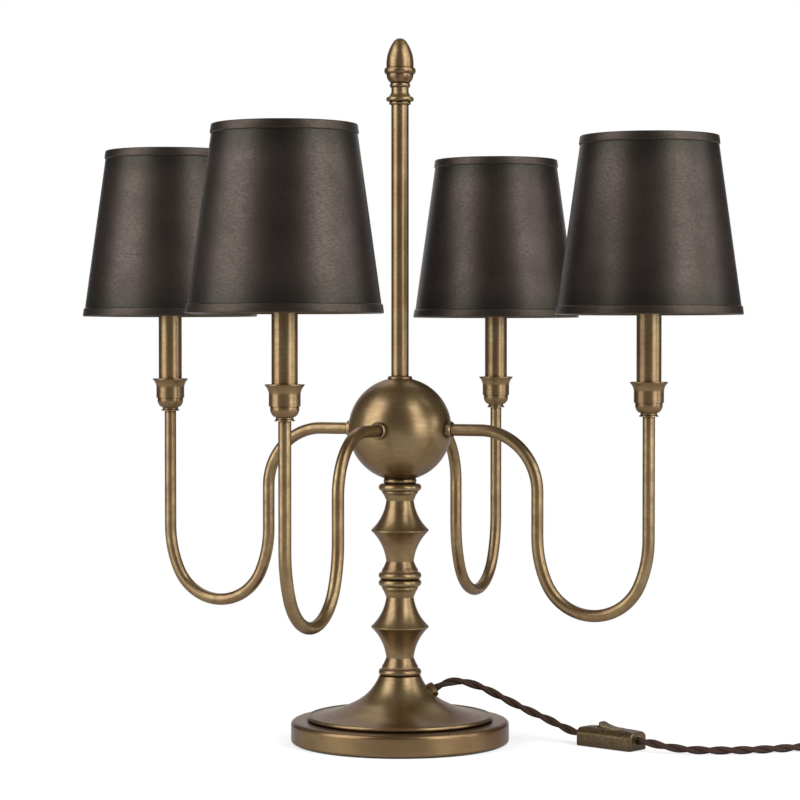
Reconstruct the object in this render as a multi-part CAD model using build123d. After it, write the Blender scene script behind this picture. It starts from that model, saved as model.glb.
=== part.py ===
# A four-arm candle table lamp in aged brass, with empire shades, an inline switch and a twisted cord.
# Millimetres, +Z up. The origin is the middle of the underside, and the arms point along X and Y.
from build123d import *
import math
import os

# Fits: a fixed seat, and the running clearance of a part that moves
SEAT_GAP = 0.1
RUNNING_GAP = 0.4

# Base: a stepped round plate under a trumpet foot
BASE_DIAMETER = 201.0
BASE_RIM_HEIGHT = 20.9
BASE_TOP_ROUND = 4.0
BASE_BOTTOM_ROUND = 2.5
BASE_WALL = 2.9
FELT_PROUD = 0.7
FELT_THICKNESS = 2.5
DISC_DIAMETER = 171.2
DISC_STEP = 4.0
FOOT_HEIGHT = 61.7
FOOT_TOP_DIAMETER = 38.2
FOOT_BEND_DIAMETER = 57.8
FOOT_BEND_HEIGHT = 46.5
FOOT_HIP_DIAMETER = 90.0
FOOT_HIP_HEIGHT = 35.4
WEIGHT_HEIGHT = 15.5
NUT_POCKET_DIAMETER = 34.0
NUT_POCKET_DEPTH = 8.6
NUT_WIDTH = 16.0
NUT_HEIGHT = 5.0
WASHER_DIAMETER = 30.0
WASHER_THICKNESS = 1.6

# Lamp pipe through the column, from the base to the ball's top
PIPE_DIAMETER = 10.0
PIPE_BORE = 7.0
PIPE_BOTTOM = 3.6
PIPE_WINDOW_HEIGHT = 14.0
PIPE_INTO_ROD = 24.0

# Turned column
KNOP_HEIGHT = 11.3
BEAD_DIAMETER = 39.4
BEAD_HEIGHT = 6.8
BALUSTER_HEIGHT = 66.5
BALUSTER_RIM_DIAMETER = 53.0
BALUSTER_RIM_HEIGHT = 33.8
BALUSTER_WAIST_DIAMETER = 25.4
BALUSTER_WAIST_HEIGHT = 5.3
BALUSTER_END_DIAMETER = 30.0
BALUSTER_RIM_EDGE = 1.0
BALUSTER_HOLLOW = 0.45
BALUSTER_SWELL = 0.65
COLUMN_STEP_DIAMETER = 33.4
MIDDLE_KNOP_HEIGHT = 22.5
STEP_SHARE = 0.4
NECK_HEIGHT = 15.4
NECK_CONE_HEIGHT = 3.5
NECK_DIAMETER = 30.4

# Ball, centre rod and finial
BALL_DIAMETER = 95.0
BALL_WALL = 2.0
ROD_DIAMETER = 16.1
ROD_WALL = 1.5
ROD_TOP = 586.6
ROD_COLLAR_DIAMETER = 22.6
ROD_COLLAR_HEIGHT = 48.8
CAP_HEIGHT = 11.5
CAP_DIAMETER = 25.4
CAP_FOOT_DIAMETER = 20.0
CAP_FOOT_SHARE = 0.28
CAP_RIM_SHARE = 0.36
FINIAL_HEIGHT = 49.5
FINIAL_NECK_DIAMETER = 16.0
FINIAL_RING_DIAMETER = 19.0
FINIAL_BEAD_DIAMETER = 29.0
FINIAL_TIP_RADIUS = 7.3
ACORN_DIAMETER = 24.8
ACORN_CUP_SHARE = 0.94
ACORN_BELLY_SHARE = 0.93
TIP_ANGLE = 64.0

# Shares of the finial's height where its ring, cup, bead and acorn change
FINIAL_RING_START = 0.08
FINIAL_RING_END = 0.17
CUP_MIDDLE = 0.25
ACORN_BEAD_START = 0.34
ACORN_BEAD_END = 0.45
ACORN_BELLY = 0.69

# Stud that holds the finial, and the edge left on turned rings
STUD_DIAMETER = 6.0
STUD_LENGTH = 10.0
TURNED_EDGE = 1.0

# Arms: out of the ball, down, round a deep U and up under the candle
ARM_ANGLES = {"right": 0, "back": 90, "left": 180, "front": 270}
ARM_DIAMETER = 11.0
ARM_BORE = 8.4
ARM_BEND_RADIUS = 55.0
ARM_INNER_REACH = 135.0
CANDLE_REACH = 240.0
ARM_LOWEST = 124.5
U_DEPTH = 69.0
U_SIDE_RADIUS = 100.0
ARM_INTO_BALL = 11.0
FERRULE_DIAMETER = 15.4
FERRULE_LENGTH = 5.0
ARM_NUT_WIDTH = 15.0
ARM_NUT_LENGTH = 5.0
WIRE_DIAMETER = 3.0
CONNECTOR_DIAMETER = 26.0
CONNECTOR_HEIGHT = 12.0

# Candle: check ring, cup, sleeve, lampholder and bulb
CUP_BOTTOM = 307.0
CUP_HEIGHT = 27.0
CUP_LIP_DIAMETER = 33.6
CUP_BODY_DIAMETER = 26.6
CUP_BOWL_DIAMETER = 24.4
CUP_FOOT_DIAMETER = 18.4
CUP_STEP_HEIGHT = 8.6
CUP_WALL = 1.2
CUP_FLOOR = 3.0
CUP_RING_DIAMETER = 17.0
CUP_RING_HEIGHT = 3.8
SLEEVE_DIAMETER = 22.1
SLEEVE_WALL = 1.0
SLEEVE_TOP = 424.0
STEM_DIAMETER = 8.0
SOCKET_DIAMETER = 19.0
SOCKET_HEIGHT = 42.0
SOCKET_BORE_DEPTH = 24.0
BULB_CAP_DIAMETER = 12.0
BULB_CAP_HEIGHT = 26.0
BULB_DIAMETER = 35.0
BULB_LENGTH = 82.0

# Shade and what carries it
SHADE_BOTTOM = 393.2
SHADE_TOP = 551.0
SHADE_BOTTOM_DIAMETER = 166.6
SHADE_TOP_DIAMETER = 122.6
SHADE_WALL = 1.2
TRIM_HEIGHT = 8.0
TRIM_PROUD = 1.2
TRIM_CROWN = 0.5
FRAME_WIRE = 3.0
FITTER_DIAMETER = 50.0
FITTER_DROP = 12.0
CARRIER_COLLAR_HEIGHT = 10.0
CARRIER_COLLAR_WALL = 1.4
CARRIER_WIRE = 2.4
SPIDER_WIRES = 3

# Cord, seen in the front view, which is turned from the X axis by this angle
VIEW_TURN = 23.67
CORD_DIAMETER = 7.4
BUSH_TURN = 12.0
BUSH_TILT = 28.0
BUSH_DIAMETER = 14.0
BUSH_PROUD = 5.0
BUSH_RECESS = 2.0
BUSH_EDGE = 1.0
BUSH_SHANK_DIAMETER = 10.0
BUSH_SHANK_LENGTH = 6.0
LEAD_DIAMETER = 4.8
LEAD_TURN_REACH = 12.0
CORD_FIRST_RUN = 11.0
SWITCH_FIRST_RUN = 12.0

# Inline switch with a rocker
SWITCH_LENGTH = 62.0
SWITCH_WIDTH = 26.0
SWITCH_HEIGHT = 18.6
SWITCH_END_HEIGHT = 16.4
SWITCH_SIDE_HEIGHT = 11.8
SWITCH_SPLIT = 8.0
SWITCH_WALL = 2.2
SWITCH_CORNER = 3.0
SWITCH_EDGE = 1.4
SWITCH_FOOT_EDGE = 1.2
SWITCH_RIGHT = 192.3
SWITCH_AWAY = -31.0
SWITCH_HEADING = -42.0
CORD_ENTRY_HEIGHT = 9.0
CORD_ENTRY_DEPTH = 1.2
ROCKER_LENGTH = 25.0
ROCKER_WIDTH = 10.0
ROCKER_TILT = 10.0
ROCKER_SLOT_GAP = 1.2
ROCKER_PIVOT_HEIGHT = 14.0
ROCKER_CEILING = 12.0
ROCKER_PIN_DIAMETER = 2.4
ROCKER_PIN_LENGTH = 15.6
ROCKER_HUB_WALL = 2.4
ROCKER_UNDERSIDE = 3.0
ROCKER_TIP = 6.9
ROCKER_CORNER = 2.6
ROCKER_DISH = 1.8
ROCKER_EDGE = 0.8
CONTACT_THICKNESS = 0.8
CONTACT_LENGTH = 24.0
CONTACT_WIDTH = 5.0
POST_HEIGHT = 5.0
SCREW_SPACING = 46.0
SCREW_DIAMETER = 2.8
SCREW_HEAD_DIAMETER = 5.4
SCREW_HEAD_HEIGHT = 1.4
SCREW_GRIP = 3.0

# Coil of the spare cord, its tie and the plug
COIL_OUTER_RADIUS = 49.0
COIL_PITCH = 8.2
COIL_TURNS = 5.25
COIL_TAIL = 46.0
TIE_THICKNESS = 1.2
TIE_WIDTH = 9.0
TIE_ANGLE = 60.0
TIE_GAP = 0.6
PLUG_LENGTH = 38.0
PLUG_WIDTH = 30.0
PLUG_NOSE_WIDTH = 14.0
PLUG_THICKNESS = 24.0
PLUG_ROUND = 3.0
PLUG_EDGE = 2.0
BLADE_SPACING = 12.7
BLADE_LENGTH = 17.0
BLADE_HEIGHT = 6.3
BLADE_THICKNESS = 1.5

# Places worked out from the sizes above
base_radius = BASE_DIAMETER / 2
disc_radius = DISC_DIAMETER / 2
pipe_radius = PIPE_DIAMETER / 2
pipe_hole = pipe_radius + SEAT_GAP
knop_bottom = FOOT_HEIGHT
lower_baluster_bottom = knop_bottom + KNOP_HEIGHT
middle_knop_bottom = lower_baluster_bottom + BALUSTER_HEIGHT
upper_baluster_bottom = middle_knop_bottom + MIDDLE_KNOP_HEIGHT
neck_bottom = upper_baluster_bottom + BALUSTER_HEIGHT
ball_radius = BALL_DIAMETER / 2
ball_seat = math.sqrt(ball_radius**2 - (NECK_DIAMETER / 2) ** 2)
ball_height = neck_bottom + NECK_HEIGHT + ball_seat
rod_bottom = ball_height + ball_radius + SEAT_GAP
arm_radius = ARM_DIAMETER / 2
arm_top = CUP_BOTTOM + CUP_FLOOR
sleeve_radius = SLEEVE_DIAMETER / 2
socket_bottom = SLEEVE_TOP - SOCKET_HEIGHT
shade_slope = (SHADE_BOTTOM_DIAMETER - SHADE_TOP_DIAMETER) / 2 / (SHADE_TOP - SHADE_BOTTOM)
frame_radius = FRAME_WIRE / 2
fitter_height = SHADE_TOP - FITTER_DROP
cord_radius = CORD_DIAMETER / 2


def outline(start, *steps):
    """A closed flat face. A step is the end of a line, or the middle and the end of an arc."""
    edges = []
    here = start
    for step in steps:
        if isinstance(step[0], tuple):
            edges.append(ThreePointArc(here, *step))
            here = step[1]
        else:
            edges.append(Line(here, step))
            here = step
    edges.append(Line(here, start))
    return make_face(edges)


def turned(start, *steps):
    """A solid turned about Z from an outline of radius and height."""
    return revolve(Plane.XZ * outline(start, *steps), Axis.Z)


def tube(inner, outer, bottom, top):
    """A plain upright tube."""
    return turned((inner, bottom), (outer, bottom), (outer, top), (inner, top))


def hexagon_nut(width, bore, height):
    """A six-sided nut standing on the XY plane."""
    blank = extrude(RegularPolygon(width / 2, 6, major_radius=False), height)
    return blank - Cylinder(bore, height * 3)


def swept(face_at_origin, path):
    """A section swept along a path from its start."""
    return sweep(Plane(origin=path @ 0, z_dir=path % 0) * face_at_origin, path=path)


def on_candle(solid):
    """A solid modelled on the Z axis, moved out to the candle of the right arm."""
    return Pos(CANDLE_REACH, 0, 0) * solid


def at_each_arm(solid):
    """The four copies of a solid modelled on the right arm."""
    return Compound([Rot(0, 0, angle) * solid for angle in ARM_ANGLES.values()])


# Base
def foot_profile(grow):
    """The outer steps of the trumpet foot and disc, from the disc's edge up to the foot's top."""
    disc_top = BASE_RIM_HEIGHT + DISC_STEP
    edge = DISC_STEP / 2
    hip = (FOOT_HIP_DIAMETER / 2 + grow, FOOT_HIP_HEIGHT + grow)
    slope_start = (disc_radius - 2 * edge + grow, disc_top + grow)
    slope_middle = ((hip[0] + slope_start[0]) / 2, (hip[1] + slope_start[1]) / 2 - edge)
    bend = (FOOT_BEND_DIAMETER / 2 + grow, FOOT_BEND_HEIGHT)
    return [
        ((disc_radius + grow, disc_top - edge), slope_start),
        (slope_middle, hip),
        (bend, (FOOT_TOP_DIAMETER / 2 + grow, FOOT_HEIGHT)),
    ]


def bush_axis():
    """The plane whose Z axis is the cord bush's axis, with its origin on the foot."""
    angle = math.radians(VIEW_TURN + BUSH_TURN)
    tilt = math.radians(BUSH_TILT)
    flat = Vector(math.cos(angle), math.sin(angle), 0)
    seat = flat * (FOOT_BEND_DIAMETER / 2) + Vector(0, 0, FOOT_BEND_HEIGHT)
    return Plane(origin=seat, z_dir=flat * math.cos(tilt) + Vector(0, 0, math.sin(tilt)))


def base_shell():
    rounding = math.sqrt(0.5)
    bottom = FELT_PROUD
    top = BASE_RIM_HEIGHT
    low = BASE_BOTTOM_ROUND
    high = BASE_TOP_ROUND
    outer = [
        (base_radius - low, bottom),
        (
            (base_radius - low * (1 - rounding), bottom + low * (1 - rounding)),
            (base_radius, bottom + low),
        ),
        (base_radius, top - high),
        (
            (base_radius - high * (1 - rounding), top - high * (1 - rounding)),
            (base_radius - high, top),
        ),
        (disc_radius - DISC_STEP / 2, top),
    ]
    ceiling = FELT_THICKNESS + WEIGHT_HEIGHT
    hip = (FOOT_HIP_DIAMETER / 2 - BASE_WALL / 2, FOOT_HIP_HEIGHT - BASE_WALL)
    bend = (FOOT_BEND_DIAMETER / 2 - BASE_WALL, FOOT_BEND_HEIGHT - BASE_WALL / 2)
    inner = [
        (pipe_hole, FOOT_HEIGHT),
        (pipe_hole, FOOT_HEIGHT - 2 * BASE_WALL),
        (FOOT_TOP_DIAMETER / 2 - BASE_WALL, FOOT_HEIGHT - 2 * BASE_WALL),
        (bend, hip),
        (disc_radius - 2 * DISC_STEP, ceiling + DISC_STEP - 1),
        (disc_radius - 2 * DISC_STEP, ceiling),
        (base_radius - BASE_WALL, ceiling),
    ]
    shell = turned((base_radius - BASE_WALL, bottom), *outer, *foot_profile(0), *inner)
    hole = bush_axis() * Cylinder(BUSH_SHANK_DIAMETER / 2 + SEAT_GAP, 8 * BASE_WALL)
    return shell - hole


def base_weight():
    pocket_top = FELT_THICKNESS + NUT_POCKET_DEPTH
    radius = base_radius - BASE_WALL - RUNNING_GAP
    return turned(
        (pipe_hole, pocket_top),
        (NUT_POCKET_DIAMETER / 2, pocket_top),
        (NUT_POCKET_DIAMETER / 2, FELT_THICKNESS),
        (radius, FELT_THICKNESS),
        (radius, FELT_THICKNESS + WEIGHT_HEIGHT),
        (pipe_hole, FELT_THICKNESS + WEIGHT_HEIGHT),
    )


def base_felt():
    return Pos(0, 0, FELT_THICKNESS / 2) * Cylinder(base_radius - BASE_WALL - RUNNING_GAP, FELT_THICKNESS)


def base_washer():
    top = FELT_THICKNESS + NUT_POCKET_DEPTH
    return tube(pipe_hole, WASHER_DIAMETER / 2, top - WASHER_THICKNESS, top)


def base_nut():
    top = FELT_THICKNESS + NUT_POCKET_DEPTH - WASHER_THICKNESS
    return Pos(0, 0, top - NUT_HEIGHT) * hexagon_nut(NUT_WIDTH, pipe_hole, NUT_HEIGHT)


def lamp_pipe():
    pipe = tube(PIPE_BORE / 2, pipe_radius, PIPE_BOTTOM, rod_bottom + PIPE_INTO_ROD)
    window = Rot(0, 0, VIEW_TURN + BUSH_TURN) * Box(PIPE_DIAMETER, PIPE_BORE, PIPE_WINDOW_HEIGHT)
    reach = pipe_radius
    angle = math.radians(VIEW_TURN + BUSH_TURN)
    return pipe - Pos(reach * math.cos(angle), reach * math.sin(angle), lead_height()) * window


# Column
def bead(bottom, diameter, height):
    """The steps of a half-round bead that starts and ends at the column's step."""
    step = COLUMN_STEP_DIAMETER / 2
    return [
        (step, bottom),
        ((diameter / 2, bottom + height / 2), (step, bottom + height)),
    ]


def lower_knop():
    bead_top = knop_bottom + BEAD_HEIGHT
    top = knop_bottom + KNOP_HEIGHT
    return turned(
        (pipe_hole, knop_bottom),
        *bead(knop_bottom, BEAD_DIAMETER, BEAD_HEIGHT),
        (COLUMN_STEP_DIAMETER / 2, bead_top + (top - bead_top) * STEP_SHARE),
        (BALUSTER_END_DIAMETER / 2, top),
        (pipe_hole, top),
    )


def baluster(bottom):
    waist = BALUSTER_WAIST_DIAMETER / 2
    rim = BALUSTER_RIM_DIAMETER / 2
    end = BALUSTER_END_DIAMETER / 2
    lower_waist = bottom + BALUSTER_WAIST_HEIGHT
    upper_waist = bottom + BALUSTER_HEIGHT - BALUSTER_WAIST_HEIGHT
    rim_height = bottom + BALUSTER_RIM_HEIGHT
    top = bottom + BALUSTER_HEIGHT
    edge = BALUSTER_RIM_EDGE / 2
    hollow = waist + (rim - waist) * BALUSTER_HOLLOW
    return turned(
        (pipe_hole, bottom),
        (end, bottom),
        (waist, lower_waist),
        ((hollow, lower_waist + (rim_height - lower_waist) * BALUSTER_SWELL), (rim, rim_height - edge)),
        (rim, rim_height + edge),
        ((hollow, upper_waist - (upper_waist - rim_height) * BALUSTER_SWELL), (waist, upper_waist)),
        (end, top),
        (pipe_hole, top),
    )


def middle_knop():
    bottom = middle_knop_bottom
    top = bottom + MIDDLE_KNOP_HEIGHT
    middle = bottom + MIDDLE_KNOP_HEIGHT / 2
    step = COLUMN_STEP_DIAMETER / 2
    edge = (MIDDLE_KNOP_HEIGHT / 2 - BEAD_HEIGHT) * STEP_SHARE
    return turned(
        (pipe_hole, bottom),
        (BALUSTER_END_DIAMETER / 2, bottom),
        (step, middle - BEAD_HEIGHT - edge),
        *bead(middle - BEAD_HEIGHT, BEAD_DIAMETER, BEAD_HEIGHT),
        bead(middle, BEAD_DIAMETER, BEAD_HEIGHT)[1],
        (step, middle + BEAD_HEIGHT + edge),
        (BALUSTER_END_DIAMETER / 2, top),
        (pipe_hole, top),
    )


def ball_cutter():
    return Pos(0, 0, ball_height) * Sphere(ball_radius + SEAT_GAP)


def neck_ring():
    bead_bottom = neck_bottom + NECK_CONE_HEIGHT
    bead_top = bead_bottom + BEAD_HEIGHT
    top = neck_bottom + NECK_HEIGHT
    edge = NECK_CONE_HEIGHT * STEP_SHARE
    collar = NECK_DIAMETER / 2
    ring = turned(
        (pipe_hole, neck_bottom),
        (BALUSTER_END_DIAMETER / 2, neck_bottom),
        (COLUMN_STEP_DIAMETER / 2, bead_bottom - edge),
        *bead(bead_bottom, BEAD_DIAMETER, BEAD_HEIGHT),
        (collar - TURNED_EDGE, bead_top),
        ((collar, (bead_top + top) / 2), (collar - TURNED_EDGE, top)),
        (pipe_hole, top),
    )
    return ring - ball_cutter()


# Ball, centre rod and finial
def ball_hub():
    shell = Sphere(ball_radius) - Sphere(ball_radius - BALL_WALL)
    shell -= Cylinder(pipe_hole, 3 * ball_radius)
    for turn in (Rot(90, 0, 0), Rot(0, 90, 0)):
        shell -= turn * Cylinder(arm_radius + SEAT_GAP, 3 * ball_radius)
    return Pos(0, 0, ball_height) * shell


def rod_collar():
    radius = ROD_COLLAR_DIAMETER / 2
    top = ball_height + ROD_COLLAR_HEIGHT
    inner = ROD_DIAMETER / 2 + SEAT_GAP
    collar = turned(
        (inner, ball_height),
        (radius, ball_height),
        (radius, top - 1),
        (radius - 1, top),
        (inner, top),
    )
    return collar - ball_cutter()


def centre_rod():
    radius = ROD_DIAMETER / 2
    socket_top = rod_bottom + PIPE_INTO_ROD
    return turned(
        (pipe_hole, rod_bottom),
        (radius, rod_bottom),
        (radius, ROD_TOP),
        (radius - ROD_WALL, ROD_TOP),
        (radius - ROD_WALL, socket_top),
        (pipe_hole, socket_top),
    )


def rod_cap():
    foot = CAP_FOOT_DIAMETER / 2
    rim = CAP_DIAMETER / 2
    neck = FINIAL_NECK_DIAMETER / 2
    spigot = ROD_DIAMETER / 2 - ROD_WALL - SEAT_GAP
    bore = STUD_DIAMETER / 2 + SEAT_GAP
    top = ROD_TOP + CAP_HEIGHT
    foot_top = ROD_TOP + CAP_HEIGHT * CAP_FOOT_SHARE
    rim_top = foot_top + CAP_HEIGHT * CAP_RIM_SHARE
    return turned(
        (bore, ROD_TOP - STUD_LENGTH),
        (spigot, ROD_TOP - STUD_LENGTH),
        (spigot, ROD_TOP),
        (foot - TURNED_EDGE, ROD_TOP),
        ((foot, (ROD_TOP + foot_top) / 2), (foot - TURNED_EDGE, foot_top)),
        (rim - TURNED_EDGE, foot_top),
        ((rim, (foot_top + rim_top) / 2), (rim - 2 * TURNED_EDGE, rim_top)),
        ((neck + TURNED_EDGE, (rim_top + top) / 2), (neck, top)),
        (bore, top),
    )


def finial():
    bottom = ROD_TOP + CAP_HEIGHT
    tip = bottom + FINIAL_HEIGHT
    neck = FINIAL_NECK_DIAMETER / 2
    ring = FINIAL_RING_DIAMETER / 2
    collar = FINIAL_BEAD_DIAMETER / 2
    acorn = ACORN_DIAMETER / 2
    stud = STUD_DIAMETER / 2
    shares = (FINIAL_RING_START, FINIAL_RING_END, CUP_MIDDLE, ACORN_BEAD_START, ACORN_BEAD_END, ACORN_BELLY)
    ring_bottom, ring_top, cup_middle, bead_bottom, bead_top, belly = [
        bottom + FINIAL_HEIGHT * share for share in shares
    ]

    def on_tip(angle):
        swing = math.radians(angle)
        return (FINIAL_TIP_RADIUS * math.sin(swing), tip - FINIAL_TIP_RADIUS * (1 - math.cos(swing)))

    return turned(
        (0, bottom - STUD_LENGTH),
        (stud, bottom - STUD_LENGTH),
        (stud, bottom),
        (neck, bottom),
        (neck, ring_bottom),
        ((ring, (ring_bottom + ring_top) / 2), (ring - TURNED_EDGE, ring_top)),
        ((acorn * ACORN_CUP_SHARE, cup_middle), (acorn, bead_bottom)),
        (collar - TURNED_EDGE, bead_bottom),
        ((collar, (bead_bottom + bead_top) / 2), (collar - TURNED_EDGE, bead_top)),
        (acorn, bead_top),
        ((acorn * ACORN_BELLY_SHARE, belly), on_tip(TIP_ANGLE)),
        (on_tip(TIP_ANGLE / 2), (0, tip)),
    )


# Arms
def arm_path(start_reach):
    """The middle line of an arm and its wire: over, down, round the U and up under the cup."""
    half_span = (CANDLE_REACH - ARM_INNER_REACH) / 2
    middle = ARM_INNER_REACH + half_span
    u_top = ARM_LOWEST + U_DEPTH
    bottom_radius = (U_SIDE_RADIUS**2 - (U_SIDE_RADIUS - half_span) ** 2 - U_DEPTH**2) / (
        2 * (U_SIDE_RADIUS - U_DEPTH)
    )
    join = math.atan2(U_DEPTH - bottom_radius, U_SIDE_RADIUS - half_span)

    def side(sign, angle):
        reach = half_span - U_SIDE_RADIUS * (1 - math.cos(angle))
        return (middle + sign * reach, u_top - U_SIDE_RADIUS * math.sin(angle))

    bend_start = ARM_INNER_REACH - ARM_BEND_RADIUS
    bend_middle = ARM_BEND_RADIUS * (1 - math.sqrt(0.5))
    edges = [
        Line((start_reach, ball_height), (bend_start, ball_height)),
        ThreePointArc(
            (bend_start, ball_height),
            (ARM_INNER_REACH - bend_middle, ball_height - bend_middle),
            (ARM_INNER_REACH, ball_height - ARM_BEND_RADIUS),
        ),
        Line((ARM_INNER_REACH, ball_height - ARM_BEND_RADIUS), (ARM_INNER_REACH, u_top)),
        ThreePointArc(side(-1, 0), side(-1, join / 2), side(-1, join)),
        ThreePointArc(side(-1, join), (middle, ARM_LOWEST), side(1, join)),
        ThreePointArc(side(1, join), side(1, join / 2), side(1, 0)),
        Line((CANDLE_REACH, u_top), (CANDLE_REACH, arm_top)),
    ]
    return Plane.XZ * Wire(edges)


def arm():
    section = Circle(arm_radius) - Circle(ARM_BORE / 2)
    return swept(section, arm_path(ball_radius - ARM_INTO_BALL))


def arm_wire():
    return swept(Circle(WIRE_DIAMETER / 2), arm_path(CONNECTOR_DIAMETER / 2))


def wire_connector():
    bottom = ball_height - CONNECTOR_HEIGHT / 2
    return tube(pipe_hole, CONNECTOR_DIAMETER / 2, bottom, bottom + CONNECTOR_HEIGHT)


def arm_ferrule():
    outer = FERRULE_DIAMETER / 2
    inner = arm_radius + SEAT_GAP
    reach = math.sqrt(ball_radius**2 - outer**2)
    end = ball_radius + FERRULE_LENGTH
    ring = turned(
        (inner, reach - BALL_WALL),
        (outer, reach - BALL_WALL),
        (outer, end - 1),
        (outer - 1, end),
        (inner, end),
    )
    return Pos(0, 0, ball_height) * Rot(0, 90, 0) * ring - ball_cutter()


def arm_nut():
    corner = ARM_NUT_WIDTH / math.sqrt(3) + SEAT_GAP
    seat = math.sqrt((ball_radius - BALL_WALL) ** 2 - corner**2)
    nut = hexagon_nut(ARM_NUT_WIDTH, arm_radius + SEAT_GAP, ARM_NUT_LENGTH)
    return Pos(seat - ARM_NUT_LENGTH, 0, ball_height) * Rot(0, 90, 0) * nut


# Candles
def cup_ring():
    outer = CUP_RING_DIAMETER / 2
    inner = arm_radius + SEAT_GAP
    bottom = CUP_BOTTOM - CUP_RING_HEIGHT
    waist = outer - 1
    return turned(
        (inner, bottom),
        (outer, bottom),
        (outer, bottom + 1),
        ((waist, (bottom + CUP_BOTTOM) / 2), (outer, CUP_BOTTOM)),
        (inner, CUP_BOTTOM),
    )


def candle_cup():
    lip = CUP_LIP_DIAMETER / 2
    body = CUP_BODY_DIAMETER / 2
    bowl = CUP_BOWL_DIAMETER / 2
    foot = CUP_FOOT_DIAMETER / 2
    top = CUP_BOTTOM + CUP_HEIGHT
    step = CUP_BOTTOM + CUP_STEP_HEIGHT
    floor = CUP_BOTTOM + CUP_FLOOR
    seat = sleeve_radius + SEAT_GAP
    flare = top - CUP_HEIGHT * 0.3
    hole = arm_radius + SEAT_GAP
    return turned(
        (hole, CUP_BOTTOM),
        (foot, CUP_BOTTOM),
        ((foot + (bowl - foot) * 0.75, CUP_BOTTOM + CUP_STEP_HEIGHT * 0.33), (bowl, step - 1)),
        (bowl, step),
        (body, step),
        (body, flare),
        ((body + (lip - body) * 0.3, (flare + top) / 2), (lip, top - 0.8)),
        (lip, top),
        (lip - CUP_WALL, top),
        ((body - CUP_WALL / 2, (flare + top) / 2), (seat, flare)),
        (seat, floor + CUP_FLOOR),
        (seat - SLEEVE_WALL, floor + CUP_FLOOR),
        (seat - SLEEVE_WALL, floor),
        (hole, floor),
    )


def candle_sleeve():
    bottom = CUP_BOTTOM + 2 * CUP_FLOOR
    return tube(sleeve_radius - SLEEVE_WALL, sleeve_radius, bottom, SLEEVE_TOP)


def lampholder():
    stem = STEM_DIAMETER / 2
    flange = ARM_DIAMETER / 2
    socket = SOCKET_DIAMETER / 2
    bore = BULB_CAP_DIAMETER / 2 + SEAT_GAP
    bore_floor = SLEEVE_TOP - SOCKET_BORE_DEPTH
    return turned(
        (0, arm_top),
        (flange, arm_top),
        (flange, arm_top + CUP_FLOOR),
        (stem, arm_top + CUP_FLOOR),
        (stem, socket_bottom),
        (socket, socket_bottom),
        (socket, SLEEVE_TOP),
        (bore, SLEEVE_TOP),
        (bore, bore_floor),
        (0, bore_floor),
    )


def bulb_cap():
    radius = BULB_CAP_DIAMETER / 2
    bottom = SLEEVE_TOP - SOCKET_BORE_DEPTH
    top = bottom + BULB_CAP_HEIGHT
    contact = radius / 2
    return turned(
        (0, bottom),
        (contact, bottom),
        (contact, bottom + 2),
        (radius, bottom + 4),
        (radius, top),
        (0, top),
    )


def bulb():
    bottom = SLEEVE_TOP - SOCKET_BORE_DEPTH + BULB_CAP_HEIGHT
    tip = bottom + BULB_LENGTH
    neck = BULB_CAP_DIAMETER / 2
    wide = BULB_DIAMETER / 2
    belly = bottom + BULB_LENGTH * 0.35
    shoulder = bottom + BULB_LENGTH * 0.72
    return turned(
        (0, bottom),
        (neck, bottom),
        ((wide * 0.8, bottom + BULB_LENGTH * 0.17), (wide, belly)),
        ((wide * 0.89, bottom + BULB_LENGTH * 0.56), (wide * 0.55, shoulder)),
        ((wide * 0.2, bottom + BULB_LENGTH * 0.88), (wide * 0.06, tip)),
        (0, tip),
    )


# Shades
def cone_radius(height):
    """The shade skin's outer radius at a height."""
    return SHADE_BOTTOM_DIAMETER / 2 - TRIM_PROUD - (height - SHADE_BOTTOM) * shade_slope


def shade():
    lowest = cone_radius(SHADE_BOTTOM)
    highest = cone_radius(SHADE_TOP)
    return turned(
        (lowest - SHADE_WALL, SHADE_BOTTOM),
        (lowest, SHADE_BOTTOM),
        (highest, SHADE_TOP),
        (highest - SHADE_WALL, SHADE_TOP),
    )


def shade_band(bottom):
    top = bottom + TRIM_HEIGHT
    low = cone_radius(bottom) + SEAT_GAP
    high = cone_radius(top) + SEAT_GAP
    proud = TRIM_PROUD - SEAT_GAP
    crown = (low + high) / 2 + proud + TRIM_CROWN
    return turned(
        (low, bottom),
        (low + proud, bottom),
        ((crown, (bottom + top) / 2), (high + proud, top)),
        (high, top),
    )


def shade_trim():
    return Compound([shade_band(SHADE_BOTTOM), shade_band(SHADE_TOP - TRIM_HEIGHT)])


def wire_ring(radius, height, wire):
    return Pos(0, 0, height) * Torus(radius, wire / 2)


def straight_wire(start, end, wire):
    """A round wire between two points of radius and height on the XZ plane."""
    path = Line((start[0], 0, start[1]), (end[0], 0, end[1]))
    return swept(Circle(wire / 2), path)


def spokes(wire):
    """Copies of a wire round the candle, none of them on the X axis."""
    return [Rot(0, 0, (step + 0.5) * 360 / SPIDER_WIRES) * wire for step in range(SPIDER_WIRES)]


def ring_radius(height):
    """The middle of a frame ring that touches the skin from inside at a height."""
    return cone_radius(height + frame_radius) - SHADE_WALL - frame_radius - SEAT_GAP


def shade_frame():
    top = SHADE_TOP - frame_radius
    bottom = SHADE_BOTTOM + frame_radius
    fitter = FITTER_DIAMETER / 2
    spider = wire_ring(ring_radius(top), top, FRAME_WIRE) + wire_ring(fitter, fitter_height, FRAME_WIRE)
    spider += spokes(straight_wire((fitter, fitter_height), (ring_radius(top), top), FRAME_WIRE))
    return Compound([spider.solid(), wire_ring(ring_radius(bottom), bottom, FRAME_WIRE)])


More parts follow.
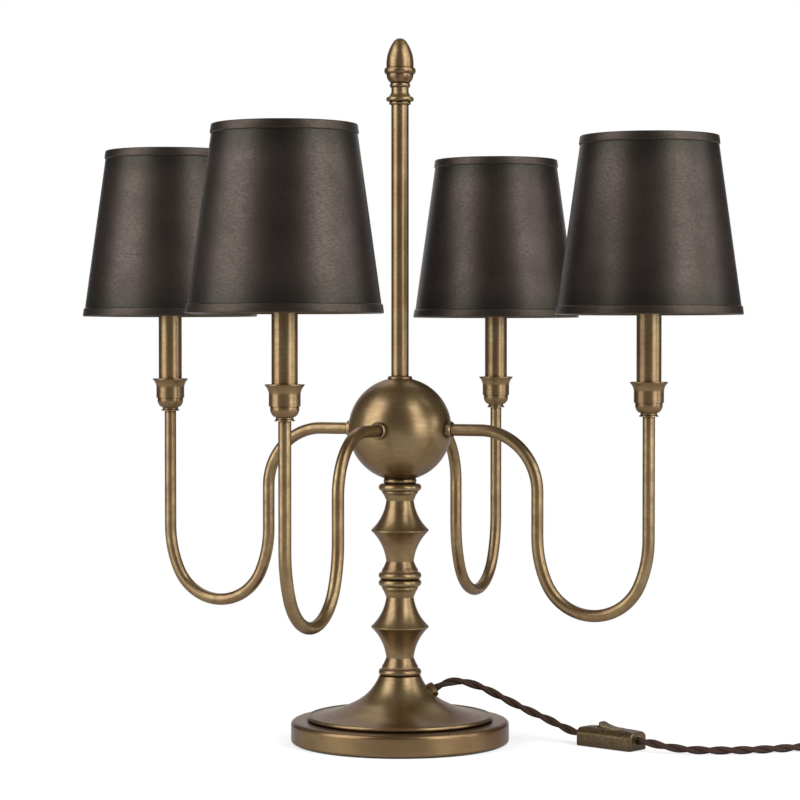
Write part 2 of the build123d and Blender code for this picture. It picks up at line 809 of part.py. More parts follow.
def shade_carrier():
    inner = sleeve_radius + RUNNING_GAP
    outer = inner + CARRIER_COLLAR_WALL
    rest = SLEEVE_TOP + RUNNING_GAP
    top = rest + CARRIER_COLLAR_WALL
    ring_height = fitter_height - frame_radius - RUNNING_GAP - CARRIER_WIRE / 2
    carrier = turned(
        (inner, top - CARRIER_COLLAR_HEIGHT),
        (outer, top - CARRIER_COLLAR_HEIGHT),
        (outer, top),
        (sleeve_radius - SLEEVE_WALL, top),
        (sleeve_radius - SLEEVE_WALL, rest),
        (inner, rest),
    )
    carrier += wire_ring(FITTER_DIAMETER / 2, ring_height, CARRIER_WIRE)
    leg_path = Polyline(
        (outer - CARRIER_COLLAR_WALL / 2, 0, top - CARRIER_COLLAR_HEIGHT / 2),
        (FITTER_DIAMETER / 2, 0, top + CARRIER_COLLAR_HEIGHT),
        (FITTER_DIAMETER / 2, 0, ring_height),
    )
    section = Plane(origin=leg_path @ 0, z_dir=leg_path % 0) * Circle(CARRIER_WIRE / 2)
    leg = sweep(section, path=leg_path, transition=Transition.RIGHT)
    leg -= Cylinder(inner, 4 * SLEEVE_TOP)
    carrier += spokes(leg)
    return carrier.solid()


# Cord bush, lead and route
def seen(right, away, up):
    """A point given as the front view sees it: to the right, away from the viewer and up."""
    turn = math.radians(VIEW_TURN)
    return Vector(
        right * math.cos(turn) - away * math.sin(turn),
        right * math.sin(turn) + away * math.cos(turn),
        up,
    )


def cord_exit():
    """Where the cord starts, in the bush's recess."""
    axis = bush_axis()
    return axis.origin + axis.z_dir * (BUSH_PROUD - BUSH_RECESS)


def cord_bush():
    """A turned bush: a flange trimmed to the foot, and a shank through the foot's wall."""
    flange = BUSH_DIAMETER / 2
    blank = turned(
        (0, -BUSH_DIAMETER),
        (flange, -BUSH_DIAMETER),
        (flange, BUSH_PROUD - BUSH_EDGE),
        (flange - BUSH_EDGE, BUSH_PROUD),
        (0, BUSH_PROUD),
    )
    foot_edge = (0, BASE_RIM_HEIGHT)
    foot = turned(foot_edge, (disc_radius, BASE_RIM_HEIGHT), *foot_profile(SEAT_GAP), (0, FOOT_HEIGHT))
    shank_height = BUSH_SHANK_LENGTH + BUSH_PROUD - BUSH_EDGE
    shank = Pos(0, 0, shank_height / 2 - BUSH_SHANK_LENGTH) * Cylinder(BUSH_SHANK_DIAMETER / 2, shank_height)
    bush = bush_axis() * blank - foot + bush_axis() * shank
    bush -= bush_axis() * Cylinder(LEAD_DIAMETER / 2 + SEAT_GAP, 8 * BUSH_PROUD)
    recess = Pos(0, 0, BUSH_PROUD) * Cylinder(cord_radius + SEAT_GAP, 2 * BUSH_RECESS)
    return (bush - bush_axis() * recess).solid()


def lead_height():
    """The height at which the lead turns up into the pipe."""
    drop = (FOOT_BEND_DIAMETER / 2 - LEAD_TURN_REACH) * math.tan(math.radians(BUSH_TILT))
    return FOOT_BEND_HEIGHT - drop


def rounded_path(points):
    """Straight runs with the largest arcs that fit: 0.45 of the shorter run at every corner."""
    radii = []
    for before, corner, after in zip(points, points[1:], points[2:]):
        run_in = corner - before
        run_out = after - corner
        half_turn = math.radians(run_in.get_angle(run_out) / 2)
        radii.append(0.45 * min(run_in.length, run_out.length) / math.tan(half_turn))
    return FilletPolyline(*points, radius=radii), radii


def supply_lead():
    angle = math.radians(VIEW_TURN + BUSH_TURN)
    flat = Vector(math.cos(angle), math.sin(angle), 0)
    height = lead_height()
    stations = [
        (LEAD_TURN_REACH, height),
        (LEAD_TURN_REACH / 2, height),
        (0, height + LEAD_TURN_REACH / 2),
        (0, ball_height),
    ]
    points = [cord_exit()] + [flat * reach + Vector(0, 0, up) for reach, up in stations]
    path, radii = rounded_path(points)
    return swept(Circle(LEAD_DIAMETER / 2), path)


def switch_end(side):
    """The point on the table under the left (-1) or right (1) end of the switch."""
    heading = math.radians(SWITCH_HEADING)
    reach = side * (SWITCH_LENGTH / 2 - CORD_ENTRY_DEPTH)
    return SWITCH_RIGHT + reach * math.cos(heading), SWITCH_AWAY + reach * math.sin(heading)


def switch_run(side, reach):
    """A point on the switch's long axis, some way out from one of its ends."""
    heading = math.radians(SWITCH_HEADING)
    right, away = switch_end(side)
    return seen(
        right + side * reach * math.cos(heading), away + side * reach * math.sin(heading), CORD_ENTRY_HEIGHT
    )


def cord_tube(name, points):
    """A cord's tube along its points, with its radii and volume printed."""
    path, radii = rounded_path(points)
    cord = swept(Circle(cord_radius), path)
    share = cord.volume / (path.length * math.pi * cord_radius**2)
    print(name, "length", round(path.length, 1), "volume share", round(share, 4))
    print(name, "radii", [round(radius, 1) for radius in radii])
    return cord


def cord_to_switch():
    out = bush_axis().z_dir
    points = [
        cord_exit(),
        cord_exit() + out * CORD_FIRST_RUN,
        seen(51.5, 11.0, 55.2),
        seen(64.0, 13.6, 53.0),
        seen(79.5, 16.5, 47.0),
        seen(96.0, 18.8, 38.0),
        seen(115.0, 18.5, 28.3),
        seen(133.0, 15.0, 20.8),
        seen(148.5, 8.0, 14.0),
        switch_run(-1, SWITCH_FIRST_RUN),
        switch_run(-1, 0),
    ]
    return cord_tube("cord_to_switch", points)


def coil_height():
    """The middle of the coil's lower layer, which lies on its tie."""
    return TIE_THICKNESS + TIE_GAP / 2 + cord_radius


def cord_route_to_coil():
    return [
        switch_run(1, 0),
        switch_run(1, SWITCH_FIRST_RUN),
        seen(236.0, -66.5, 6.5),
        seen(256.0, -72.0, 4.1),
        seen(284.0, -74.0, cord_radius),
        seen(316.0, -70.5, cord_radius),
        seen(346.0, -61.0, cord_radius),
        seen(372.0, -49.0, cord_radius),
        seen(400.0, -35.5, 4.1),
        seen(432.0, -18.5, coil_height()),
        seen(461.0, -1.0, coil_height()),
    ]


def cord_to_coil():
    return cord_tube("cord_to_coil", cord_route_to_coil())


# Coil of spare cord
def coil_place():
    """Where the coil lies: its first straight bit goes on from the cord that comes in."""
    before, start = cord_route_to_coil()[-2:]
    ahead = start - before
    first = coil_heading(0)
    turn = math.atan2(ahead.Y, ahead.X) - math.atan2(first.Y, first.X)
    turned_coil = Rot(0, 0, math.degrees(turn))
    first_point = turned_coil * Pos(*(coil_point(0) - first * CORD_DIAMETER))
    return Location(start - first_point.position) * turned_coil


def coil_point(turn):
    """The cord's middle line, which spirals in, climbs a layer in half a turn and spirals out."""
    spiral = (COIL_TURNS - 0.5) / 2
    if turn <= spiral:
        radius = COIL_OUTER_RADIUS - COIL_PITCH * turn
        up = 0
    elif turn >= spiral + 0.5:
        radius = COIL_OUTER_RADIUS - COIL_PITCH * (COIL_TURNS - turn)
        up = COIL_PITCH
    else:
        share = (turn - spiral) * 2
        radius = COIL_OUTER_RADIUS - COIL_PITCH * (spiral + (share - share**2) / 2)
        up = COIL_PITCH * (3 * share**2 - 2 * share**3)
    angle = 2 * math.pi * turn
    return Vector(radius * math.cos(angle), radius * math.sin(angle), up)


def coil_heading(turn):
    """The direction of the coil's middle line."""
    step = 1e-5
    return (coil_point(turn + step) - coil_point(turn - step)).normalized()


def biarc(start, start_heading, end, end_heading):
    """Two arcs that join two points along two directions."""
    chord = end - start
    headings = start_heading + end_heading
    spread = 2 * (1 - start_heading.dot(end_heading))
    along = chord.dot(headings)
    reach = (math.sqrt(along**2 + spread * chord.dot(chord)) - along) / spread
    first = start + start_heading * reach
    second = end - end_heading * reach
    middle = (first + second) * 0.5
    return [
        TangentArc(start, middle, tangent=start_heading),
        TangentArc(middle, end, tangent=second - first),
    ]


def cord_coil():
    spiral = (COIL_TURNS - 0.5) / 2
    steps = math.ceil(spiral * 4)
    turns = [spiral * step / steps for step in range(steps + 1)]
    turns += [spiral + 0.25]
    turns += [COIL_TURNS - turn for turn in reversed(turns[: steps + 1])]
    start = coil_point(0)
    end = coil_point(COIL_TURNS)
    edges = [Line(start - coil_heading(0) * CORD_DIAMETER, start)]
    for here, there in zip(turns, turns[1:]):
        edges += biarc(coil_point(here), coil_heading(here), coil_point(there), coil_heading(there))
    edges.append(Line(end, end + coil_heading(COIL_TURNS) * COIL_TAIL))
    path = Wire(edges)
    coil = swept(Circle(cord_radius), path)
    share = coil.volume / (path.length * math.pi * cord_radius**2)
    print("cord_coil length", round(path.length, 1), "volume share", round(share, 4))
    print("cord_coil least gap to itself", round(coil_gap(), 2))
    return coil_place() * coil


def coil_gap():
    """The least gap between two turns, measured on points a fortieth of a turn apart."""
    count = round(COIL_TURNS * 40)
    points = [coil_point(COIL_TURNS * step / count) for step in range(count + 1)]
    least = min(
        (points[first] - points[second]).length
        for first in range(count + 1)
        for second in range(first + 20, count + 1)
    )
    return least - CORD_DIAMETER


def coil_tie():
    """A strap round all the turns on one side of the coil."""
    spiral = (COIL_TURNS - 0.5) / 2
    inner = COIL_OUTER_RADIUS - COIL_PITCH * (spiral + 0.125) - cord_radius - TIE_GAP
    outer = COIL_OUTER_RADIUS + cord_radius + TIE_GAP
    bottom = -cord_radius - TIE_GAP / 2
    top = COIL_PITCH + cord_radius + TIE_GAP
    hole = Pos((inner + outer) / 2, 0, (bottom + top) / 2) * Box(outer - inner, 2 * TIE_WIDTH, top - bottom)
    blank = Pos((inner + outer) / 2, 0, (bottom + top) / 2) * Box(
        outer - inner + 2 * TIE_THICKNESS, TIE_WIDTH, top - bottom + 2 * TIE_THICKNESS
    )
    blank = fillet(blank.edges().filter_by(Axis.Y), TIE_THICKNESS)
    return coil_place() * Rot(0, 0, TIE_ANGLE) * (blank - hole)


# Plug
def plug_place():
    """The location of the plug: origin at its nose, X along the cord's tail."""
    end = coil_point(COIL_TURNS) + coil_heading(COIL_TURNS) * COIL_TAIL
    heading = coil_heading(COIL_TURNS)
    return coil_place() * Plane(origin=end, x_dir=heading, z_dir=(0, 0, 1)).location


def plug_body():
    nose = PLUG_NOSE_WIDTH / 2
    half = PLUG_WIDTH / 2
    swell = PLUG_LENGTH * 0.45
    middle = (PLUG_LENGTH * 0.24, (nose + half) / 2)
    plan = outline(
        (0, -nose),
        ((middle[0], -middle[1]), (swell, -half)),
        (PLUG_LENGTH, -half),
        (PLUG_LENGTH, half),
        (swell, half),
        (middle, (0, nose)),
    )
    body = Pos(0, 0, -PLUG_THICKNESS / 2) * extrude(plan, PLUG_THICKNESS)
    body = fillet(body.edges().filter_by(Axis.Z).group_by(Axis.X)[-1], PLUG_ROUND)
    rim = body.faces().sort_by(Axis.Z)[-1].edges() + body.faces().sort_by(Axis.Z)[0].edges()
    return plug_place() * chamfer(rim, PLUG_EDGE)


def plug_blades():
    blade = Pos(PLUG_LENGTH + BLADE_LENGTH / 2, 0, 0) * Box(BLADE_LENGTH, BLADE_THICKNESS, BLADE_HEIGHT)
    sides = [Pos(0, side * BLADE_SPACING / 2, 0) * blade for side in (-1, 1)]
    return plug_place() * Compound(sides)


# Inline switch, modelled with its long axis along X
def switch_place():
    return Location(seen(SWITCH_RIGHT, SWITCH_AWAY, 0)) * Rot(0, 0, VIEW_TURN + SWITCH_HEADING)


def cord_entries():
    """The recesses at both ends where the cord goes in."""
    depth = 2 * CORD_ENTRY_DEPTH
    recess = Rot(0, 90, 0) * Cylinder(cord_radius + SEAT_GAP, depth)
    return [Pos(side * SWITCH_LENGTH / 2, 0, CORD_ENTRY_HEIGHT) * recess for side in (-1, 1)]


def screw_holes(radius, height):
    hole = Cylinder(radius, height)
    return [Pos(side * SCREW_SPACING / 2, 0, 0) * hole for side in (-1, 1)]


def switch_base():
    block = Pos(0, 0, SWITCH_SPLIT / 2) * Box(SWITCH_LENGTH, SWITCH_WIDTH, SWITCH_SPLIT)
    block = fillet(block.edges().filter_by(Axis.Z), SWITCH_CORNER)
    block = fillet(block.faces().sort_by(Axis.Z)[0].edges(), SWITCH_FOOT_EDGE)
    pocket = Pos(0, 0, SWITCH_SPLIT / 2 + SWITCH_WALL) * Box(
        SWITCH_LENGTH - 4 * SWITCH_WALL, SWITCH_WIDTH - 2 * SWITCH_WALL, SWITCH_SPLIT
    )
    block -= [pocket] + cord_entries()
    block -= screw_holes(SCREW_DIAMETER / 2 + SEAT_GAP, 4 * SWITCH_SPLIT)
    return block - screw_holes(SCREW_HEAD_DIAMETER / 2 + SEAT_GAP, 2 * SCREW_HEAD_HEIGHT)


def switch_cover():
    half = SWITCH_LENGTH / 2
    side_view = outline(
        (-half, SWITCH_SPLIT),
        (half, SWITCH_SPLIT),
        (half, SWITCH_END_HEIGHT),
        ((0, SWITCH_HEIGHT), (-half, SWITCH_END_HEIGHT)),
    )
    end_view = outline(
        (-SWITCH_WIDTH / 2, SWITCH_SPLIT),
        (SWITCH_WIDTH / 2, SWITCH_SPLIT),
        (SWITCH_WIDTH / 2, SWITCH_SIDE_HEIGHT),
        ((0, SWITCH_HEIGHT), (-SWITCH_WIDTH / 2, SWITCH_SIDE_HEIGHT)),
    )
    block = extrude(Plane.XZ * side_view, SWITCH_WIDTH / 2, both=True)
    block &= extrude(Plane.YZ * end_view, SWITCH_LENGTH / 2, both=True)
    block = fillet(block.edges().filter_by(Axis.Z), SWITCH_CORNER)
    top_edges = [edge for edge in block.edges() if edge.center().Z > SWITCH_SPLIT + SWITCH_EDGE]
    upright = block.edges().filter_by(Axis.Z)
    block = fillet([edge for edge in top_edges if edge not in upright], SWITCH_EDGE)
    pocket_height = ROCKER_CEILING - SWITCH_SPLIT
    pocket = Pos(0, 0, SWITCH_SPLIT + pocket_height / 2) * Box(
        SWITCH_LENGTH - 4 * SWITCH_WALL, SWITCH_WIDTH - 2 * SWITCH_WALL, pocket_height
    )
    slot_length = ROCKER_LENGTH + 2 * ROCKER_SLOT_GAP
    slot_width = ROCKER_WIDTH + 2 * RUNNING_GAP
    slot = Pos(0, 0, SWITCH_HEIGHT) * Box(slot_length, slot_width, 2 * (SWITCH_HEIGHT - ROCKER_CEILING))
    slot = fillet(slot.edges().filter_by(Axis.Z), ROCKER_CORNER)
    pin_hole = Rot(90, 0, 0) * Cylinder(ROCKER_PIN_DIAMETER / 2 + SEAT_GAP, ROCKER_PIN_LENGTH + 2 * SEAT_GAP)
    block -= [pocket, slot, Pos(0, 0, ROCKER_PIVOT_HEIGHT) * pin_hole] + cord_entries()
    return block - screw_holes(SCREW_DIAMETER / 2 + SEAT_GAP, 2 * (ROCKER_CEILING + SCREW_GRIP))


def switch_rocker():
    half = ROCKER_LENGTH / 2
    hub = ROCKER_PIN_DIAMETER / 2 + ROCKER_HUB_WALL
    side_view = outline(
        (-half, ROCKER_UNDERSIDE),
        (-hub, ROCKER_UNDERSIDE),
        (-hub, 0),
        ((0, -hub), (hub, 0)),
        (hub, ROCKER_UNDERSIDE),
        (half, ROCKER_UNDERSIDE),
        (half, ROCKER_TIP),
        ((0, ROCKER_TIP - ROCKER_DISH), (-half, ROCKER_TIP)),
    )
    rocker = extrude(Plane.XZ * side_view, ROCKER_WIDTH / 2, both=True)
    ends = [edge for edge in rocker.edges().filter_by(Axis.Z) if abs(edge.center().X) > hub]
    rocker = fillet(ends, ROCKER_CORNER)
    dished_face = rocker.faces().sort_by(Axis.Z)[-1]
    rocker = fillet(dished_face.edges(), ROCKER_EDGE)
    rocker -= Rot(90, 0, 0) * Cylinder(ROCKER_PIN_DIAMETER / 2 + SEAT_GAP, 2 * ROCKER_WIDTH)
    return Pos(0, 0, ROCKER_PIVOT_HEIGHT) * Rot(0, ROCKER_TILT, 0) * rocker


def rocker_pin():
    pin = Cylinder(ROCKER_PIN_DIAMETER / 2, ROCKER_PIN_LENGTH)
    return Pos(0, 0, ROCKER_PIVOT_HEIGHT) * Rot(90, 0, 0) * pin


def switch_contacts():
    """Two brass strips on the floor, each with a terminal post."""
    across = SWITCH_WIDTH / 2 - SWITCH_WALL - CONTACT_WIDTH / 2 - RUNNING_GAP
    strip = Box(CONTACT_LENGTH, CONTACT_WIDTH, CONTACT_THICKNESS)
    strip = Pos(0, 0, SWITCH_WALL + CONTACT_THICKNESS / 2) * strip
    post = Pos(CONTACT_LENGTH / 2 - CONTACT_WIDTH / 2, 0, SWITCH_WALL + POST_HEIGHT / 2) * Box(
        CONTACT_WIDTH, CONTACT_WIDTH, POST_HEIGHT
    )
    contact = strip + post
    return Compound([Pos(0, across, 0) * contact, Rot(0, 0, 180) * Pos(0, across, 0) * contact])


def switch_screws():
    head = SCREW_HEAD_HEIGHT
    screw = turned(
        (0, SEAT_GAP),
        (SCREW_HEAD_DIAMETER / 2, SEAT_GAP),
        (SCREW_HEAD_DIAMETER / 2, head),
        (SCREW_DIAMETER / 2, head),
        (SCREW_DIAMETER / 2, ROCKER_CEILING + SCREW_GRIP - SEAT_GAP),
        (0, ROCKER_CEILING + SCREW_GRIP - SEAT_GAP),
    )
    return Compound([Pos(side * SCREW_SPACING / 2, 0, 0) * screw for side in (-1, 1)])


# All the pieces, by name
def fixed_pieces():
    pieces = {
        "base_shell": base_shell(),
        "base_weight": base_weight(),
        "base_felt": base_felt(),
        "base_washer": base_washer(),
        "base_nut": base_nut(),
        "lamp_pipe": lamp_pipe(),
        "lower_knop": lower_knop(),
        "lower_baluster": baluster(lower_baluster_bottom),
        "middle_knop": middle_knop(),
        "upper_baluster": baluster(upper_baluster_bottom),
        "neck_ring": neck_ring(),
        "ball_hub": ball_hub(),
        "rod_collar": rod_collar(),
        "centre_rod": centre_rod(),
        "rod_cap": rod_cap(),
        "finial": finial(),
        "wire_connector": wire_connector(),
        "supply_lead": supply_lead(),
        "arm_ferrules": at_each_arm(arm_ferrule()),
        "arm_nuts": at_each_arm(arm_nut()),
        "arm_wires": at_each_arm(arm_wire()),
    }
    candle = {
        "cup_rings": cup_ring(),
        "candle_cups": candle_cup(),
        "candle_sleeves": candle_sleeve(),
        "lampholders": lampholder(),
        "bulb_caps": bulb_cap(),
        "bulbs": bulb(),
    }
    for name, solid in candle.items():
        pieces[name] = at_each_arm(on_candle(solid))
    return pieces


def arm_pieces():
    """The pieces that each arm has for itself."""
    one_arm = {
        "arm": arm(),
        "shade_carrier": on_candle(shade_carrier()),
        "shade_frame": on_candle(shade_frame()),
        "shade": on_candle(shade()),
        "shade_trim": on_candle(shade_trim()),
    }
    pieces = {}
    for side, angle in ARM_ANGLES.items():
        for name, solid in one_arm.items():
            pieces[f"{name}_{side}"] = Rot(0, 0, angle) * solid
    return pieces


def cord_pieces():
    pieces = {
        "cord_bush": cord_bush(),
        "cord_to_switch": cord_to_switch(),
        "cord_to_coil": cord_to_coil(),
        "cord_coil": cord_coil(),
        "coil_tie": coil_tie(),
        "plug_body": plug_body(),
        "plug_blades": plug_blades(),
    }
    switch = {
        "switch_base": switch_base(),
        "switch_cover": switch_cover(),
        "switch_rocker": switch_rocker(),
        "rocker_pin": rocker_pin(),
        "switch_contacts": switch_contacts(),
        "switch_screws": switch_screws(),
    }
    for name, solid in switch.items():
        pieces[name] = switch_place() * solid
    return pieces


os.makedirs("parts", exist_ok=True)
for name, solid in {**fixed_pieces(), **arm_pieces(), **cord_pieces()}.items():
    export_step(solid, f"parts/{name}.step")
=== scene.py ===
"""Looks of a four-light table lamp: aged brass, dark bronze shades and a twisted cloth cord."""

import math

import bpy
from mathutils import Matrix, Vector


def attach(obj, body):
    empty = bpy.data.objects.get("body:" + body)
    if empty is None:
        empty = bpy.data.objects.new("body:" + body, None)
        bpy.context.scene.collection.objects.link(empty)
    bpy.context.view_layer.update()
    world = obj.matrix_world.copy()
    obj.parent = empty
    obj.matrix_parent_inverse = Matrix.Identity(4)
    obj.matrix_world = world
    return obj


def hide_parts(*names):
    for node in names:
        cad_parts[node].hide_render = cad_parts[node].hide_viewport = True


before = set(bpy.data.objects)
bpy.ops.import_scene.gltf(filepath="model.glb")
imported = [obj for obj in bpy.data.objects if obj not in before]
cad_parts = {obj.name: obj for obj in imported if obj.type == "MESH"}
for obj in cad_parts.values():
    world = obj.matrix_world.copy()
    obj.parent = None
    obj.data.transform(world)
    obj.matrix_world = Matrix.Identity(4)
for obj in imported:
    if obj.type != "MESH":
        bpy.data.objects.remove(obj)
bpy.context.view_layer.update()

bl_info = {
    "name": "Four-light table lamp",
    "version": (1, 0, 0),
    "blender": (4, 5, 0),
    "location": "3D View > Sidebar > Lamp",
    "description": "Dresses a four-light brass table lamp and sets up its studio",
    "category": "Object",
}

SIDES = ("right", "back", "left", "front")
CANDLE_REACH = 0.240
MM = 0.001


def linear(colour):
    """Linear red, green and blue of an sRGB hex colour."""
    parts = [int(colour[start:start + 2], 16) / 255 for start in (0, 2, 4)]
    return tuple(part / 12.92 if part <= 0.04045 else ((part + 0.055) / 1.055) ** 2.4 for part in parts)


# Sizes and colours that a user would change

class LampCordSizes(bpy.types.PropertyGroup):
    """Sizes of the twisted cord and of its coil."""

    diameter: bpy.props.FloatProperty(
        name="Diameter", description="Width across both strands", default=0.0076, unit="LENGTH")
    lay_length: bpy.props.FloatProperty(
        name="Lay length", description="Length of one full twist of the strands", default=0.040,
        unit="LENGTH")
    coil_radius: bpy.props.FloatProperty(
        name="Coil radius", description="Middle of the outermost turn", default=0.049, unit="LENGTH")
    coil_pitch: bpy.props.FloatProperty(
        name="Coil pitch", description="Middle of one turn to the middle of the next", default=0.0082,
        unit="LENGTH")
    coil_turns: bpy.props.FloatProperty(
        name="Coil turns", description="Turns in both layers together", default=5.25)
    points_per_turn: bpy.props.IntProperty(
        name="Points per turn", description="Points of the cord's line in each turn of the coil", default=24)
    strand_share: bpy.props.FloatProperty(
        name="Strand share", description="Width of one strand as a share of the cord", default=0.66)
    strand_sides: bpy.props.IntProperty(
        name="Strand sides", description="Faces round one strand", default=14)
    strand_step: bpy.props.FloatProperty(
        name="Strand step", description="Length of one face along a strand", default=0.0016, unit="LENGTH")


class LampShadeSizes(bpy.types.PropertyGroup):
    """Sizes of one rolled shade and of the bands on its edges."""

    bottom: bpy.props.FloatProperty(
        name="Bottom", description="Lower edge above the table", default=0.3932, unit="LENGTH")
    top: bpy.props.FloatProperty(
        name="Top", description="Upper edge above the table", default=0.551, unit="LENGTH")
    bottom_radius: bpy.props.FloatProperty(
        name="Bottom radius", description="Outside of the card at the lower edge", default=0.0821,
        unit="LENGTH")
    top_radius: bpy.props.FloatProperty(
        name="Top radius", description="Outside of the card at the upper edge", default=0.0601,
        unit="LENGTH")
    wall: bpy.props.FloatProperty(
        name="Wall", description="Thickness of the card", default=0.0012, unit="LENGTH")
    band_height: bpy.props.FloatProperty(
        name="Band height", description="Height of the band on each edge", default=0.008, unit="LENGTH")
    band_proud: bpy.props.FloatProperty(
        name="Band proud", description="How far a band stands out from the card", default=0.0011,
        unit="LENGTH")
    seam_width: bpy.props.FloatProperty(
        name="Seam width", description="Width of the glued lap", default=0.010, unit="LENGTH")
    seam_step: bpy.props.FloatProperty(
        name="Seam step", description="Height of the lap over the card", default=0.0004, unit="LENGTH")
    steps: bpy.props.IntProperty(
        name="Steps", description="Faces round a shade", default=180)


class LampColours(bpy.types.PropertyGroup):
    """Colours of the finishes."""

    brass: bpy.props.FloatVectorProperty(
        name="Brass", description="Rubbed face of the aged brass", default=linear("8B7855"), subtype="COLOR")
    brass_red: bpy.props.FloatVectorProperty(
        name="Brown brass", description="Redder clouds in the aged brass", default=linear("826A4B"),
        subtype="COLOR")
    patina: bpy.props.FloatVectorProperty(
        name="Patina", description="Darkened brass in the hollows", default=linear("5A4224"),
        subtype="COLOR")
    bath_brown: bpy.props.FloatVectorProperty(
        name="Bath brown", description="Brass darkened in a bath, on the switch", default=linear("3A2C18"),
        subtype="COLOR")
    # Wax and dirt, and painted shade: the creases that ambient occlusion finds take this colour.
    dirt_and_shade: bpy.props.FloatVectorProperty(
        name="Dirt", description="Old wax and dirt in the creases", default=linear("38271A"),
        subtype="COLOR")
    brass_edge: bpy.props.FloatVectorProperty(
        name="Brass edge", description="Brass seen at a glancing angle", default=linear("8A784C"),
        subtype="COLOR")
    shade: bpy.props.FloatVectorProperty(
        name="Shade", description="Bronze skin of the shades", default=linear("443C38"), subtype="COLOR")
    shade_green: bpy.props.FloatVectorProperty(
        name="Shade green", description="Lacquer near the ends of the shades", default=linear("302F29"),
        subtype="COLOR")
    shade_dark: bpy.props.FloatVectorProperty(
        name="Shade grain", description="Thin places in the lacquer of the shades", default=linear("29231F"),
        subtype="COLOR")
    cord: bpy.props.FloatVectorProperty(
        name="Cord", description="Braid of the cord", default=linear("442D20"), subtype="COLOR")
    cord_dark: bpy.props.FloatVectorProperty(
        name="Cord hollows", description="Between the threads of the braid", default=linear("0E0704"),
        subtype="COLOR")
    backdrop: bpy.props.FloatVectorProperty(
        name="Backdrop", description="Floor and background", default=linear("FFFFFF"), subtype="COLOR")


class LampView(bpy.types.PropertyGroup):
    """Place of the camera."""

    turn: bpy.props.FloatProperty(
        name="Turn", description="Angle of the camera round the lamp", default=math.radians(23.67),
        subtype="ANGLE")
    distance: bpy.props.FloatProperty(
        name="Distance", description="Camera to the lamp's axis", default=2.392, unit="LENGTH")
    height: bpy.props.FloatProperty(
        name="Height", description="Camera above the table", default=0.3729, unit="LENGTH")
    pitch: bpy.props.FloatProperty(
        name="Pitch", description="How far the camera looks down", default=math.radians(1.37),
        subtype="ANGLE")
    lens: bpy.props.FloatProperty(
        name="Lens", description="Focal length on a 36 mm sensor", default=117, unit="CAMERA")


# Shared helpers

def add_node(tree, kind, links=None, **settings):
    """Add a node with its settings; links gives an input's value or the output that feeds it.

    An input goes by its name or number: 1 to 4 of a MapRange are the two ends that it takes and the two that
    it gives, 0 of a Mix is the share of the second colour, and 6 and 7 are its colours.
    """
    made = tree.nodes.new("ShaderNode" + kind)
    for name, value in settings.items():
        setattr(made, name, value)
    for name, source in (links or {}).items():
        if isinstance(source, bpy.types.NodeSocket):
            tree.links.new(source, made.inputs[name])
        else:
            made.inputs[name].default_value = source
    return made


def new_material(name, **sockets):
    """A material of that name with constants set on its shader: (material, tree, shader)."""
    made = bpy.data.materials.new(name)
    made.use_nodes = True
    shader = made.node_tree.nodes["Principled BSDF"]
    for socket, value in sockets.items():
        shader.inputs[socket.replace("_", " ").title().replace("Ior", "IOR")].default_value = value
    return made, made.node_tree, shader


def rgba(colour):
    """A colour property as the four numbers of a colour socket."""
    return (*colour, 1)


def dress(material, *names):
    """Give the named nodes of the frame this one material."""
    for name in names:
        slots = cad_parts[name].data.materials
        slots.clear()
        slots.append(material)


def in_view(right, away, up):
    """A point given to the right of the camera's line, away from the camera and above the table."""
    turn = bpy.context.scene.lamp_view.turn
    across = right * math.cos(turn) - away * math.sin(turn)
    along = right * math.sin(turn) + away * math.cos(turn)
    return Vector((across, along, up))


def axis_place(tree, at_candle):
    """Place on a turned piece: sockets of its height, its radius and its direction from the axis."""
    place = add_node(tree, "TexCoord").outputs["Object"]
    height = add_node(tree, "SeparateXYZ", {0: place}).outputs["Z"]
    outward = add_node(tree, "VectorMath", {0: place, 1: (1, 1, 0)}, operation="MULTIPLY").outputs[0]
    if at_candle:
        # The nearest candle stands where the larger of the two sizes points.
        size = add_node(tree, "VectorMath", {0: place}, operation="ABSOLUTE").outputs[0]
        sign = add_node(tree, "VectorMath", {0: place}, operation="SIGN").outputs[0]
        sized = add_node(tree, "SeparateXYZ", {0: size}).outputs
        across = add_node(tree, "Math", {0: sized["X"], 1: sized["Y"]}, operation="GREATER_THAN").outputs[0]
        along = add_node(tree, "Math", {0: 1.0, 1: across}, operation="SUBTRACT").outputs[0]
        pick = add_node(tree, "CombineXYZ", {"X": across, "Y": along}).outputs[0]
        side = add_node(tree, "VectorMath", {0: pick, 1: sign}, operation="MULTIPLY").outputs[0]
        candle = add_node(tree, "VectorMath", {0: side, "Scale": CANDLE_REACH}, operation="SCALE").outputs[0]
        outward = add_node(tree, "VectorMath", {0: outward, 1: candle}, operation="SUBTRACT").outputs[0]
    radius = add_node(tree, "VectorMath", {0: outward}, operation="LENGTH").outputs["Value"]
    heading = add_node(tree, "VectorMath", {0: outward}, operation="NORMALIZE").outputs[0]
    return height, radius, heading


